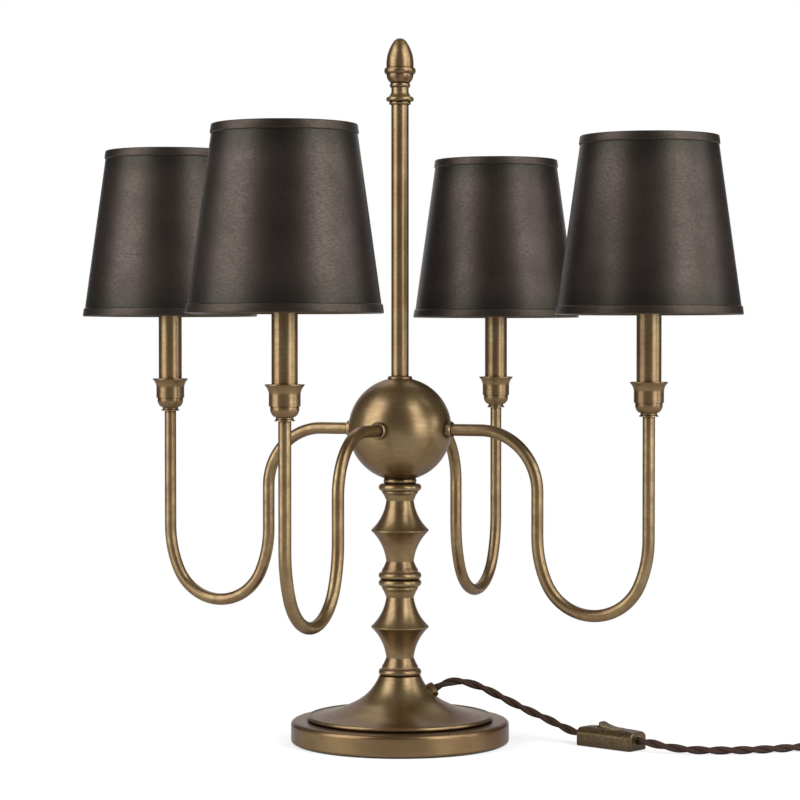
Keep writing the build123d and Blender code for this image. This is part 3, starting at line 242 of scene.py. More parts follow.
def ring_noise(tree, at_candle, streaks, line):
    """Marks that run round a turned piece, and its direction round the axis.

    A larger number of streaks makes them shorter, and line is their width in metres.
    """
    height, radius, heading = axis_place(tree, at_candle)
    ring = add_node(tree, "VectorMath", {0: heading, "Scale": streaks}, operation="SCALE").outputs[0]
    level = add_node(tree, "Math", {0: height, 1: 1 / line}, operation="MULTIPLY").outputs[0]
    stacked = add_node(tree, "CombineXYZ", {"Z": level}).outputs[0]
    place = add_node(tree, "VectorMath", {0: ring, 1: stacked}, operation="ADD").outputs[0]
    outward = add_node(tree, "Math", {0: radius, 1: 1 / line}, operation="MULTIPLY").outputs[0]
    links = {"Vector": place, "W": outward, "Scale": 1.0, "Detail": 3.0}
    marks = add_node(tree, "TexNoise", links, noise_dimensions="4D").outputs["Fac"]
    around = add_node(tree, "VectorMath", {0: (0, 0, 1), 1: heading}, operation="CROSS_PRODUCT").outputs[0]
    around = add_node(tree, "VectorTransform", {0: around}, vector_type="VECTOR", convert_from="OBJECT",
                      convert_to="WORLD").outputs[0]
    return marks, around


# Finishes

def aged_brass(name, **sockets):
    """Empty aged brass under a thin lacquer, dark at a glancing angle: (material, tree, shader)."""
    edge = rgba(bpy.context.scene.lamp_colours.brass_edge)
    return new_material(name, metallic=0.85, specular_tint=edge, coat_weight=0.4, coat_roughness=0.28,
                        **sockets)


def turned_brass(name, at_candle, streaks, rub):
    """Aged brass turned on a lathe: fine rings draw the highlights out, and the hollows stay brown."""
    made, tree, shader = aged_brass(name, anisotropic=0.35, anisotropic_rotation=0.25)
    # Lines 1.6 mm wide are coarser than real turning marks, so that they show.
    rings, around = ring_noise(tree, at_candle, streaks, 1.6 * MM)
    tree.links.new(around, shader.inputs["Tangent"])
    brass_surface(tree, shader, rings, bump=0.12, rub=rub)
    return made


def drawn_brass(name):
    """Aged brass tube, drawn, bent and rubbed by hand: a softly mottled satin with no direction."""
    made, tree, shader = aged_brass(name)
    place = add_node(tree, "TexCoord").outputs["Object"]
    clouds = {"Vector": place, "Scale": 1 / (7 * MM), "Detail": 1.0}
    mottle = add_node(tree, "TexNoise", clouds).outputs["Fac"]
    brass_surface(tree, shader, mottle, bump=0.015, rub=1.0)
    return made


def pressed_brass(name):
    """Brass pressed to shape and darkened in a bath: brown faces, with brass rubbed bright on the edges and
    a highlight painted along them.
    """
    colours = bpy.context.scene.lamp_colours
    made, tree, shader = aged_brass(name, roughness=0.42)
    # Painted highlight and rubbed brass on the edges: near an outer edge there is little metal behind the
    # face.
    depth = add_node(tree, "AmbientOcclusion", {"Distance": 1.8 * MM}, samples=12, inside=True).outputs["AO"]
    edge = add_node(tree, "MapRange", {0: depth, 1: 0.95, 2: 0.6, 3: 0.0, 4: 1.0}).outputs[0]
    place = add_node(tree, "TexCoord").outputs["Object"]
    # The painted highlight and the rubbing stay off the joint between the two halves.
    height = add_node(tree, "SeparateXYZ", {0: place}).outputs["Z"]
    painted_light_mask = add_node(tree, "MapRange", {0: height, 1: 9.4 * MM, 2: 10.4 * MM, 3: 0.0, 4: 1.0}).outputs[0]
    edge = add_node(tree, "Math", {0: edge, 1: painted_light_mask}, operation="MULTIPLY").outputs[0]
    grit = add_node(tree, "TexNoise", {"Vector": place, "Scale": 1 / (2 * MM), "Detail": 4.0}).outputs["Fac"]
    dulled = add_node(tree, "MapRange", {0: grit, 1: 0.35, 2: 0.65, 3: 0.0, 4: 0.4}).outputs[0]
    bright_share = add_node(tree, "MapRange", {0: height, 1: 1 * MM, 2: 12 * MM, 3: 0.0, 4: 1.0}).outputs[0]
    rubbed = add_node(tree, "Math", {0: dulled, 1: bright_share}, operation="MULTIPLY").outputs[0]
    share = add_node(tree, "Math", {0: edge, 1: rubbed}, operation="MAXIMUM").outputs[0]
    colour = add_node(tree, "Mix", {0: share, 6: rgba(colours.bath_brown), 7: rgba(colours.brass)},
                      data_type="RGBA").outputs[2]
    tree.links.new(colour, shader.inputs["Base Color"])
    relief = add_node(tree, "Bump", {"Height": grit, "Strength": 0.1, "Distance": 0.1 * MM}).outputs[0]
    tree.links.new(relief, shader.inputs["Normal"])
    return made


def brass_surface(tree, shader, fine, bump, rub):
    """Colour, roughness and relief of aged brass from its fine marks and its slow clouds of patina.

    The share of the brown that was rubbed back to brass is rub at most. Painted shade darkens the creases,
    the undersides and the base's edge near the table.
    """
    colours = bpy.context.scene.lamp_colours
    place = add_node(tree, "TexCoord").outputs["Object"]
    slow = {"Vector": place, "Scale": 1 / (22 * MM), "Detail": 4.0}
    clouds = add_node(tree, "TexNoise", slow).outputs["Fac"]
    hollow = add_node(tree, "AmbientOcclusion", {"Distance": 5 * MM}, samples=8).outputs["AO"]
    open_share = add_node(tree, "MapRange", {0: hollow, 1: 0.35, 2: 0.85, 3: 0.0, 4: 1.0}).outputs[0]
    rubbed = add_node(tree, "MapRange", {0: clouds, 1: 0.3, 2: 0.65, 3: 0.55 * rub, 4: rub}).outputs[0]
    marked = add_node(tree, "MapRange", {0: fine, 1: 0.3, 2: 0.7, 3: 0.6, 4: 1.0}).outputs[0]
    worn = add_node(tree, "Math", {0: rubbed, 1: marked}, operation="MULTIPLY").outputs[0]
    # Painted shade: faces that point down keep more of the brown; undersides are also rubbed back less.
    normal = add_node(tree, "NewGeometry").outputs["Normal"]
    upward = add_node(tree, "SeparateXYZ", {0: normal}).outputs["Z"]
    painted_light_mask = add_node(tree, "MapRange", {0: upward, 1: -0.8, 2: -0.1, 3: 0.35, 4: 1.0}).outputs[0]
    worn_with_painted_shade = add_node(tree, "Math", {0: worn, 1: painted_light_mask}, operation="MULTIPLY").outputs[0]
    # Painted shade: the base's edge near the table, below 24 mm, keeps more of the brown too; hands seldom
    # rub it.
    height = add_node(tree, "SeparateXYZ", {0: place}).outputs["Z"]
    rim_painted_shade = add_node(tree, "MapRange", {0: height, 1: 21 * MM, 2: 24 * MM, 3: 0.55, 4: 1.0}).outputs[0]
    bright_share = add_node(tree, "Math", {0: worn_with_painted_shade, 1: rim_painted_shade}, operation="MULTIPLY").outputs[0]
    share = add_node(tree, "Math", {0: bright_share, 1: open_share}, operation="MULTIPLY").outputs[0]
    slower = {"Vector": place, "Scale": 1 / (34 * MM), "Detail": 3.0}
    drift = add_node(tree, "TexNoise", slower).outputs["Fac"]
    browned = add_node(tree, "MapRange", {0: drift, 1: 0.42, 2: 0.62, 3: 0.0, 4: 1.0}).outputs[0]
    face = add_node(tree, "Mix", {0: browned, 6: rgba(colours.brass), 7: rgba(colours.brass_red)},
                    data_type="RGBA").outputs[2]
    aged = add_node(tree, "Mix", {0: share, 6: rgba(colours.patina), 7: face}, data_type="RGBA").outputs[2]
    # Old wax and dirt stay in the creases, and painted shade: the creases that ambient occlusion finds are
    # darkened.
    crease = add_node(tree, "AmbientOcclusion", {"Distance": 3 * MM}, samples=8).outputs["AO"]
    free_of_dirt_and_shade = add_node(tree, "MapRange", {0: crease, 1: 0.45, 2: 0.85, 3: 0.0, 4: 1.0}).outputs[0]
    colour = add_node(tree, "Mix", {0: free_of_dirt_and_shade, 6: rgba(colours.dirt_and_shade), 7: aged}, data_type="RGBA").outputs[2]
    tree.links.new(colour, shader.inputs["Base Color"])
    rough = add_node(tree, "MapRange", {0: fine, 1: 0.3, 2: 0.7, 3: 0.4, 4: 0.3}).outputs[0]
    tree.links.new(rough, shader.inputs["Roughness"])
    relief = add_node(tree, "Bump", {"Height": fine, "Strength": bump, "Distance": 0.1 * MM}).outputs[0]
    tree.links.new(relief, shader.inputs["Normal"])


def bronze_card(name):
    """Card sprayed with bronze lacquer: a warm satin with level fibres, greener and darker at both ends."""
    colours = bpy.context.scene.lamp_colours
    sizes = bpy.context.scene.lamp_shade
    made, tree, shader = new_material(name, metallic=0.9)
    place = add_node(tree, "TexCoord").outputs["Object"]
    height = add_node(tree, "SeparateXYZ", {0: place}).outputs["Z"]
    middle = (sizes.bottom + sizes.top) / 2
    half = (sizes.top - sizes.bottom) / 2
    from_middle = add_node(tree, "Math", {0: height, 1: middle}, operation="SUBTRACT").outputs[0]
    apart = add_node(tree, "Math", {0: from_middle}, operation="ABSOLUTE").outputs[0]
    greened = add_node(tree, "MapRange", {0: apart, 1: half - 34 * MM, 2: half - 4 * MM, 3: 0.0, 4: 1.0},
                       interpolation_type="SMOOTHSTEP").outputs[0]
    face = add_node(tree, "Mix", {0: greened, 6: rgba(colours.shade), 7: rgba(colours.shade_green)},
                    data_type="RGBA").outputs[2]
    slow = {"Vector": place, "Scale": 1 / (30 * MM), "Detail": 4.0}
    clouds = add_node(tree, "TexNoise", slow).outputs["Fac"]
    # The card's fibres lie level, drawn about twice as coarse as they are, so that they show.
    level = add_node(tree, "VectorMath", {0: place, 1: (1, 1, 3)}, operation="MULTIPLY").outputs[0]
    fibres = {"Vector": level, "Scale": 1 / (3.6 * MM), "Detail": 3.0}
    grain = add_node(tree, "TexNoise", fibres).outputs["Fac"]
    mixed = add_node(tree, "Math", {0: clouds, 1: grain}, operation="MULTIPLY").outputs[0]
    covered = add_node(tree, "MapRange", {0: mixed, 1: 0.12, 2: 0.38, 3: 0.45, 4: 1.0}).outputs[0]
    skin = add_node(tree, "Mix", {0: covered, 6: rgba(colours.shade_dark), 7: face},
                    data_type="RGBA").outputs[2]
    tree.links.new(skin, shader.inputs["Base Color"])
    rough = add_node(tree, "MapRange", {0: grain, 1: 0.3, 2: 0.7, 3: 0.47, 4: 0.37}).outputs[0]
    tree.links.new(rough, shader.inputs["Roughness"])
    relief = add_node(tree, "Bump", {"Height": grain, "Strength": 0.3, "Distance": 0.2 * MM}).outputs[0]
    tree.links.new(relief, shader.inputs["Normal"])
    return made


def mottled(name, colour, dark, grain, rough, bump, **sockets):
    """A plain finish with a fine grain: two near colours, and roughness and relief that follow them."""
    made, tree, shader = new_material(name, **sockets)
    place = add_node(tree, "TexCoord").outputs["Object"]
    fine = add_node(tree, "TexNoise", {"Vector": place, "Scale": 1 / grain, "Detail": 4.0}).outputs["Fac"]
    mixed = add_node(tree, "Mix", {0: fine, 6: rgba(linear(dark)), 7: rgba(linear(colour))},
                     data_type="RGBA").outputs[2]
    tree.links.new(mixed, shader.inputs["Base Color"])
    spread = {0: fine, 1: 0.3, 2: 0.7, 3: rough + 0.06, 4: rough - 0.04}
    level = add_node(tree, "MapRange", spread).outputs[0]
    tree.links.new(level, shader.inputs["Roughness"])
    relief = add_node(tree, "Bump", {"Height": fine, "Strength": bump, "Distance": grain / 3}).outputs[0]
    tree.links.new(relief, shader.inputs["Normal"])
    return made


def cotton_braid(name):
    """Cotton braid over each strand: crossing threads with a dull sheen and dark gaps between them."""
    colours = bpy.context.scene.lamp_colours
    made, tree, shader = new_material(name, roughness=0.85, specular_ior_level=0.3)
    place = add_node(tree, "UVMap").outputs[0]
    apart = add_node(tree, "SeparateXYZ", {0: place})
    around, along = apart.outputs["X"], apart.outputs["Y"]
    # Each wave gives two threads, 0.65 mm apart: a little coarser than a real braid, so that they show.
    thread = add_node(tree, "Math", {0: along, 1: 2 * math.pi / (1.3 * MM)}, operation="MULTIPLY").outputs[0]
    spokes = add_node(tree, "Math", {0: around, 1: 2 * math.pi * 4}, operation="MULTIPLY").outputs[0]
    waves = []
    for operation in ("ADD", "SUBTRACT"):
        lean = add_node(tree, "Math", {0: thread, 1: spokes}, operation=operation).outputs[0]
        wave = add_node(tree, "Math", {0: lean}, operation="SINE").outputs[0]
        waves.append(add_node(tree, "Math", {0: wave}, operation="ABSOLUTE").outputs[0])
    woven = add_node(tree, "Math", {0: waves[0], 1: waves[1]}, operation="MAXIMUM").outputs[0]
    spots = add_node(tree, "TexCoord").outputs["Object"]
    fluff = {"Vector": spots, "Scale": 1 / (0.9 * MM), "Detail": 3.0}
    fuzz = add_node(tree, "TexNoise", fluff).outputs["Fac"]
    share = add_node(tree, "Math", {0: woven, 1: fuzz}, operation="MULTIPLY").outputs[0]
    level = add_node(tree, "MapRange", {0: share, 1: 0.15, 2: 0.6, 3: 0.0, 4: 1.0}).outputs[0]
    # Dust and shade darken the valleys between the strands.
    valley = add_node(tree, "AmbientOcclusion", {"Distance": 2.5 * MM}, samples=8).outputs["AO"]
    lit = add_node(tree, "MapRange", {0: valley, 1: 0.55, 2: 1.0, 3: 0.0, 4: 1.0}).outputs[0]
    level = add_node(tree, "Math", {0: level, 1: lit}, operation="MULTIPLY").outputs[0]
    colour = add_node(tree, "Mix", {0: level, 6: rgba(colours.cord_dark), 7: rgba(colours.cord)},
                      data_type="RGBA").outputs[2]
    tree.links.new(colour, shader.inputs["Base Color"])
    relief = add_node(tree, "Bump", {"Height": share, "Strength": 0.6, "Distance": 0.4 * MM}).outputs[0]
    tree.links.new(relief, shader.inputs["Normal"])
    return made


# The cord

# Route from the foot of the column to the switch: right of the camera's line, away from it, up; metres.
ROUTE_TO_SWITCH = (
    (0.03086, 0.00656, 0.04791), (0.04036, 0.00858, 0.05307), (0.0515, 0.011, 0.0552),
    (0.064, 0.0136, 0.053), (0.0795, 0.0165, 0.047), (0.096, 0.0188, 0.038), (0.115, 0.0185, 0.0283),
    (0.133, 0.015, 0.0208), (0.1485, 0.008, 0.014), (0.16124, -0.00303, 0.009), (0.17015, -0.01106, 0.009),
)
# Route from the switch to the coil.
ROUTE_TO_COIL = (
    (0.21445, -0.05094, 0.009), (0.22336, -0.05897, 0.009), (0.236, -0.0665, 0.0065),
    (0.256, -0.072, 0.0041), (0.284, -0.074, 0.0037), (0.316, -0.0705, 0.0037), (0.346, -0.061, 0.0037),
    (0.372, -0.049, 0.0037), (0.400, -0.0355, 0.0041), (0.432, -0.0185, 0.0052), (0.461, -0.001, 0.0052),
)
# Straight end of the cord, from the coil into the plug, m.
PLUG_TAIL = 0.046
# Steps of the smooth line between two points of a route.
LINE_STEPS = 8


def coil_reach(turn, sizes):
    """Radius of the coil's line and its height over the first layer, after so many turns."""
    inward = (sizes.coil_turns - 0.5) / 2
    if turn <= inward:
        return sizes.coil_radius - sizes.coil_pitch * turn, 0.0
    if turn >= inward + 0.5:
        return sizes.coil_radius - sizes.coil_pitch * (sizes.coil_turns - turn), sizes.coil_pitch
    share = (turn - inward) * 2
    radius = sizes.coil_radius - sizes.coil_pitch * (inward + (share - share ** 2) / 2)
    return radius, sizes.coil_pitch * (3 * share ** 2 - 2 * share ** 3)


def coil_points(before, last, sizes):
    """Points of the coil and of its straight end, for a cord that comes in from one point to the next."""
    run = (last - before).normalized()
    run = Vector((run.x, run.y, 0)).normalized()
    count = int(sizes.coil_turns * sizes.points_per_turn)
    flat = []
    for step in range(count + 1):
        turn = step / sizes.points_per_turn
        radius, up = coil_reach(turn, sizes)
        angle = 2 * math.pi * turn
        flat.append(Vector((radius * math.cos(angle), radius * math.sin(angle), up)))
    # The line leaves its first point a little inward of square to the radius.
    inward = sizes.coil_pitch / (2 * math.pi)
    lean = math.atan2(sizes.coil_radius, -inward)
    twist = math.atan2(run.y, run.x) - lean
    start = last + run * sizes.diameter
    spun = [Vector((point.x * math.cos(twist) - point.y * math.sin(twist),
                    point.x * math.sin(twist) + point.y * math.cos(twist), point.z)) for point in flat]
    placed = [start + point - spun[0] for point in spun]
    ahead = placed[-1] - placed[-2]
    ahead = Vector((ahead.x, ahead.y, 0)).normalized()
    return placed + [placed[-1] + ahead * PLUG_TAIL]


def smooth_line(name, points):
    """Points along the NURBS line that the route's points control."""
    curve = bpy.data.curves.new(name, "CURVE")
    curve.dimensions = "3D"
    curve.resolution_u = LINE_STEPS
    spline = curve.splines.new("NURBS")
    spline.points.add(len(points) - 1)
    for place, point in zip(spline.points, points):
        place.co = (*point, 1)
    spline.order_u = 3
    spline.use_endpoint_u = True
    carrier = bpy.data.objects.new(name, curve)
    bpy.context.collection.objects.link(carrier)
    bpy.context.view_layer.update()
    seen = carrier.evaluated_get(bpy.context.evaluated_depsgraph_get())
    mesh = bpy.data.meshes.new_from_object(seen)
    line = [vertex.co.copy() for vertex in mesh.vertices]
    bpy.data.objects.remove(carrier)
    bpy.data.meshes.remove(mesh)
    return line


def even_steps(line, step):
    """The same line in even steps, and its length."""
    reach = [0.0]
    for first, second in zip(line, line[1:]):
        reach.append(reach[-1] + (second - first).length)
    count = max(2, round(reach[-1] / step))
    placed, leg = [], 0
    for index in range(count + 1):
        wanted = reach[-1] * index / count
        while leg < len(line) - 2 and reach[leg + 1] < wanted:
            leg += 1
        share = (wanted - reach[leg]) / max(reach[leg + 1] - reach[leg], 1e-9)
        placed.append(line[leg].lerp(line[leg + 1], min(share, 1.0)))
    return placed, reach[-1]


def twisted_strands(name, line, length, sizes):
    """Two strands pressed flat and twisted about a line: one mesh, with a braid laid out along each."""
    strand = sizes.diameter * sizes.strand_share / 2
    offset = sizes.diameter / 2 - strand
    sides = sizes.strand_sides
    vertices, faces, braid = [], [], []
    for which in range(2):
        first = len(vertices)
        side = Vector((0, 0, 1))
        for index, point in enumerate(line):
            ahead = (line[min(index + 1, len(line) - 1)] - line[max(index - 1, 0)]).normalized()
            side = (side - ahead * side.dot(ahead)).normalized()
            across = ahead.cross(side)
            along = length * index / (len(line) - 1)
            turn = 2 * math.pi * along / sizes.lay_length + math.pi * which
            outward = side * math.cos(turn) + across * math.sin(turn)
            beside = across * math.cos(turn) - side * math.sin(turn)
            for corner in range(sides):
                angle = 2 * math.pi * corner / sides
                reach = max(offset + strand * math.cos(angle), 0.0)
                place = point + outward * reach + beside * (strand * math.sin(angle))
                # The table holds the strands up.
                place.z = max(place.z, 0.0)
                vertices.append(place)
        for index in range(len(line) - 1):
            for corner in range(sides):
                following = (corner + 1) % sides
                low, high = first + index * sides, first + (index + 1) * sides
                faces.append((low + corner, low + following, high + following, high + corner))
                steps = [length * level / (len(line) - 1) for level in (index, index + 1)]
                ends = [corner / sides, (corner + 1) / sides]
                braid += [(ends[0], steps[0]), (ends[1], steps[0]), (ends[1], steps[1]), (ends[0], steps[1])]
        last = first + (len(line) - 1) * sides
        faces.append(tuple(first + corner for corner in reversed(range(sides))))
        faces.append(tuple(last + corner for corner in range(sides)))
        braid += [(0.0, 0.0)] * (2 * sides)
    mesh = bpy.data.meshes.new(name)
    mesh.from_pydata(vertices, [], faces)
    layer = mesh.uv_layers.new(name="braid")
    for place, where in zip(layer.data, braid):
        place.uv = where
    mesh.shade_smooth()
    made = bpy.data.objects.new(name, mesh)
    bpy.context.collection.objects.link(made)
    return made


def lay_cord(name, points, replaced):
    """One run of the twisted cord along its route, in place of the frame's tubes."""
    sizes = bpy.context.scene.lamp_cord
    line, length = even_steps(smooth_line(name + "_line", points), sizes.strand_step)
    made = twisted_strands(name, line, length, sizes)
    made.data.materials.append(bpy.data.materials["cotton_braid"])
    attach(made, "lamp")
    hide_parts(*replaced)
    return made


# The shades

# Rounded edge of a band, from its rim inward: shares of its thickness and of the rounded height.
BAND_EDGE = ((0.0, 0.0), (0.6, 0.25), (0.9, 0.6), (1.0, 1.0))
# Rounded height as a share of the band's height.
BAND_SOFT_SHARE = 1 / 8
# How far a band reaches in over the card, in thicknesses of the card.
BAND_LAP = 1.2
# Edges that turn by more than this stay crisp.
CRISP_ANGLE = math.radians(40)


def shade_radius(height, sizes):
    """Outside radius of the card at a height above the table."""
    share = (height - sizes.bottom) / (sizes.top - sizes.bottom)
    return sizes.bottom_radius + (sizes.top_radius - sizes.bottom_radius) * share


def lathe(name, centre, profile, step_out, steps):
    """A closed profile of radii and heights turned about an upright line; step_out lifts it by its angle."""
    vertices = []
    for step in range(steps):
        angle = 2 * math.pi * step / steps
        lift = step_out(angle)
        across, along = math.cos(angle), math.sin(angle)
        vertices += [(centre.x + (radius + lift) * across, centre.y + (radius + lift) * along, height)
                     for radius, height in profile]
    count = len(profile)
    faces = []
    for step in range(steps):
        here, there = step * count, (step + 1) % steps * count
        for first in range(count):
            second = (first + 1) % count
            faces.append((here + first, there + first, there + second, here + second))
    mesh = bpy.data.meshes.new(name)
    mesh.from_pydata(vertices, [], faces)
    mesh.shade_smooth()
    mesh.set_sharp_from_angle(angle=CRISP_ANGLE)
    made = bpy.data.objects.new(name, mesh)
    bpy.context.collection.objects.link(made)
    return made


def roll_shade(side, centre, sizes):
    """The card cone: its lap is glued on the side away from the camera."""
    behind = in_view(0, 1, 0)
    seam = math.atan2(behind.y, behind.x)
    half_seam = sizes.seam_width / (sizes.bottom_radius + sizes.top_radius)

    def step_out(angle):
        apart = abs((angle - seam + math.pi) % (2 * math.pi) - math.pi)
        return sizes.seam_step if apart < half_seam else 0.0

    outside = [(sizes.bottom_radius, sizes.bottom), (sizes.top_radius, sizes.top)]
    inside = [(radius - sizes.wall, height) for radius, height in reversed(outside)]
    made = lathe("rolled_shade_" + side, centre, outside + inside, step_out, sizes.steps)
    made.data.materials.append(bpy.data.materials["bronze_lacquered_card"])
    made.data.materials.append(bpy.data.materials["brown_paper_lining"])
    # Of the four faces of each step, the third is the inside.
    for index, face in enumerate(made.data.polygons):
        face.material_index = 1 if index % 4 == 2 else 0
    return made


def bind_shade(side, centre, sizes, bottom):
    """One band folded over an edge of the shade: a flat face with soft edges."""
    soft = sizes.band_height * BAND_SOFT_SHARE
    levels = [(share * soft, out) for out, share in BAND_EDGE]
    levels += [(sizes.band_height - up, out) for up, out in reversed(levels)]
    proud = sizes.band_proud
    outside = [(shade_radius(bottom + up, sizes) + proud * out, bottom + up) for up, out in levels]
    lap = sizes.wall * BAND_LAP
    inside = [(shade_radius(height, sizes) - lap, height) for radius, height in reversed(outside)]
    name = ("lower_band_" if bottom == sizes.bottom else "upper_band_") + side
    made = lathe(name, centre, outside + inside, lambda angle: 0.0, sizes.steps)
    made.data.materials.append(bpy.data.materials["bronze_lacquered_tape"])
    return made


# Steps of the build

class LAMP_OT_metalwork(bpy.types.Operator):
    """Dress the base, column, ball, rod, finial and arms in aged brass"""

    bl_idname = "lamp.metalwork"
    bl_label = "Metalwork"

    def execute(self, context):
        turned = turned_brass("aged_brass_turned", at_candle=False, streaks=3.0, rub=1.0)
        dress(turned, "base_shell", "lower_knop", "lower_baluster", "middle_knop", "upper_baluster",
              "neck_ring", "ball_hub", "rod_collar", "rod_cap", "finial")
        rod = turned_brass("aged_brass_rod", at_candle=False, streaks=3.0, rub=0.78)
        dress(rod, "centre_rod")
        drawn = drawn_brass("aged_brass_drawn")
        dress(drawn, "arm_ferrules", "cord_bush", "cup_rings", *["arm_" + side for side in SIDES])
        return {"FINISHED"}


class LAMP_OT_candles(bpy.types.Operator):
    """Dress the cups, sleeves, lampholders and bulbs"""

    bl_idname = "lamp.candles"
    bl_label = "Candles"

    def execute(self, context):
        sleeve = turned_brass("aged_brass_sleeve", at_candle=True, streaks=1.5, rub=1.0)
        dress(sleeve, "candle_sleeves")
        cup = turned_brass("aged_brass_cup", at_candle=True, streaks=1.5, rub=0.7)
        dress(cup, "candle_cups")
        # Moulded under heat: a brown-black half gloss with faint flow marks.
        holder = mottled("moulded_bakelite", "2A1D16", "1C130E", grain=1.5 * MM, rough=0.35, bump=0.05)
        dress(holder, "lampholders", "wire_connector")
        # Spun over a former: a pale bright metal with a fine grain.
        cap = mottled("spun_aluminium", "C9C6C0", "A5A29C", grain=0.8 * MM, rough=0.3, bump=0.1,
                      metallic=1.0)
        dress(cap, "bulb_caps")
        # Blown and frosted inside: milky, with a smooth gloss outside.
        glass = mottled("opal_glass", "F4F0E6", "EAE4D6", grain=6 * MM, rough=0.18, bump=0.02, ior=1.5,
                        coat_weight=0.3, transmission_weight=0.5)
        dress(glass, "bulbs")
        return {"FINISHED"}


class LAMP_OT_shades(bpy.types.Operator):
    """Dress the shades, their bands and the wire that carries them"""

    bl_idname = "lamp.shades"
    bl_label = "Shades"

    def execute(self, context):
        bronze_card("bronze_lacquered_card")
        # Folded tape under the same lacquer: a little lighter than the card, with a woven grain.
        mottled("bronze_lacquered_tape", "443C36", "2F2925", grain=2 * MM, rough=0.42, bump=0.2,
                metallic=0.9)
        # Laid paper, not coated: dull and dark, so that no light shows through the card.
        mottled("brown_paper_lining", "2E1E14", "22160F", grain=2 * MM, rough=0.8, bump=0.2)
        # Drawn and bronzed: dark, with a dull shine along the wire.
        wire = mottled("bronzed_steel_wire", "5A4A30", "3A2E1C", grain=1.5 * MM, rough=0.4, bump=0.1,
                       metallic=1.0)
        sizes = context.scene.lamp_shade
        for index, side in enumerate(SIDES):
            angle = math.pi / 2 * index
            centre = Vector((math.cos(angle), math.sin(angle), 0)) * CANDLE_REACH
            cone = roll_shade(side, centre, sizes)
            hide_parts("shade_" + side)
            edges = (sizes.bottom, sizes.top - sizes.band_height)
            bands = [bind_shade(side, centre, sizes, edge) for edge in edges]
            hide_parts("shade_trim_" + side)
            for made in (cone, *bands):
                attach(made, "shade_" + side)
            dress(wire, "shade_frame_" + side, "shade_carrier_" + side)
        return {"FINISHED"}


class LAMP_OT_inner_parts(bpy.types.Operator):
    """Dress the felt, the weight, the fastenings and the wiring"""

    bl_idname = "lamp.inner_parts"
    bl_label = "Inner parts"

    def execute(self, context):
        # Pressed wool: matt green with a soft nap.
        felt = mottled("pressed_wool_felt", "2F3A30", "1B231D", grain=0.7 * MM, rough=0.95, bump=0.8,
                       sheen_weight=0.4)
        dress(felt, "base_felt")
        # Cast in sand: dark, rough and pitted.
        iron = mottled("sand_cast_iron", "3C3A38", "242322", grain=1.2 * MM, rough=0.7, bump=0.6,
                       metallic=1.0)
        dress(iron, "base_weight")
        # Plated: a cool bright grey with cloudy crystals.
        zinc = mottled("zinc_plated_steel", "B4B6B8", "8A8D90", grain=2 * MM, rough=0.32, bump=0.1,
                       metallic=1.0)
        dress(zinc, "base_washer", "base_nut", "lamp_pipe", "arm_nuts", "rocker_pin", "switch_screws")
        # Extruded: smooth, brown and half dull.
        lead = mottled("extruded_vinyl", "3A2A22", "2B1F19", grain=1 * MM, rough=0.45, bump=0.05)
        dress(lead, "supply_lead", "arm_wires")
        # Stamped from rolled strip: new yellow brass with a fine grain.
        contact = mottled("stamped_brass_strip", "C7A25A", "A8843F", grain=0.8 * MM, rough=0.25, bump=0.05,
                          metallic=1.0)
        dress(contact, "switch_contacts")
        return {"FINISHED"}


class LAMP_OT_cord(bpy.types.Operator):
    """Lay the twisted cord from the foot through the switch into its coil and plug"""

    bl_idname = "lamp.cord"
    bl_label = "Cord"

    def execute(self, context):
        cotton_braid("cotton_braid")
        # Moulded: brown, with a fine dull skin.
        plug = mottled("moulded_brown_plug", "33241C", "241912", grain=1 * MM, rough=0.4, bump=0.08)
        dress(plug, "plug_body", "coil_tie")
        # Plated: a warm bright grey, rubbed by use.
        blade = mottled("nickel_plated_brass", "D2CCBE", "B4AC9A", grain=1 * MM, rough=0.22, bump=0.04,
                        metallic=1.0)
        dress(blade, "plug_blades")
        to_switch = [in_view(*point) for point in ROUTE_TO_SWITCH]
        lay_cord("cord_lamp_to_switch", to_switch, ["cord_to_switch"])
        to_coil = [in_view(*point) for point in ROUTE_TO_COIL]
        to_plug = to_coil + coil_points(to_coil[-2], to_coil[-1], context.scene.lamp_cord)
        lay_cord("cord_switch_to_plug", to_plug, ["cord_to_coil", "cord_coil"])
        return {"FINISHED"}


class LAMP_OT_switch(bpy.types.Operator):
    """Dress the inline switch in aged brass"""

    bl_idname = "lamp.switch"
    bl_label = "Switch"

    def execute(self, context):
        dress(pressed_brass("aged_brass_pressed"), "switch_base", "switch_cover", "switch_rocker")
        return {"FINISHED"}


class LAMP_OT_stage(bpy.types.Operator):
    """Set up the white table, the soft lights and the camera"""

    bl_idname = "lamp.stage"
    bl_label = "Stage"

    def execute(self, context):
        light_world(context.scene)
        white_table()
        soft_box("left_light", angle=-66, rise=24, width=1.5, height=2.4, power=46)
        soft_box("right_light", angle=47, rise=24, width=0.9, height=2.4, power=34)
        soft_box("right_edge_light", angle=80, rise=24, width=0.8, height=2.4, power=20)
        soft_box("back_light", angle=180, rise=48, width=1.4, height=0.8, power=6)
        dark_room()
        set_camera(context.scene)
        return {"FINISHED"}


# Studio

# Strength of the world's light on surfaces; where it is seen, it is one.
FILL_LIGHT = 0.45
# Half the width of the table, m.
TABLE_HALF = 12.0
# The table's own light hides its shadows by this share near the lamp, and fully from SHADOW_END outward.
SHADOW_CLEAR = 0.6
SHADOW_START = 0.15
SHADOW_END = 0.7
# The lights aim at this height on the lamp's axis, from this far, m.
AIM_HEIGHT = 0.3
LIGHT_DISTANCE = 1.9
# The ring of dark cards: flat cards, radius, bottom and top in m, and half its opening in degrees.
ROOM_CARDS = 48
ROOM_RADIUS = 2.6
ROOM_BOTTOM = -0.3
ROOM_TOP = 2.4
OPENING_HALF = 30
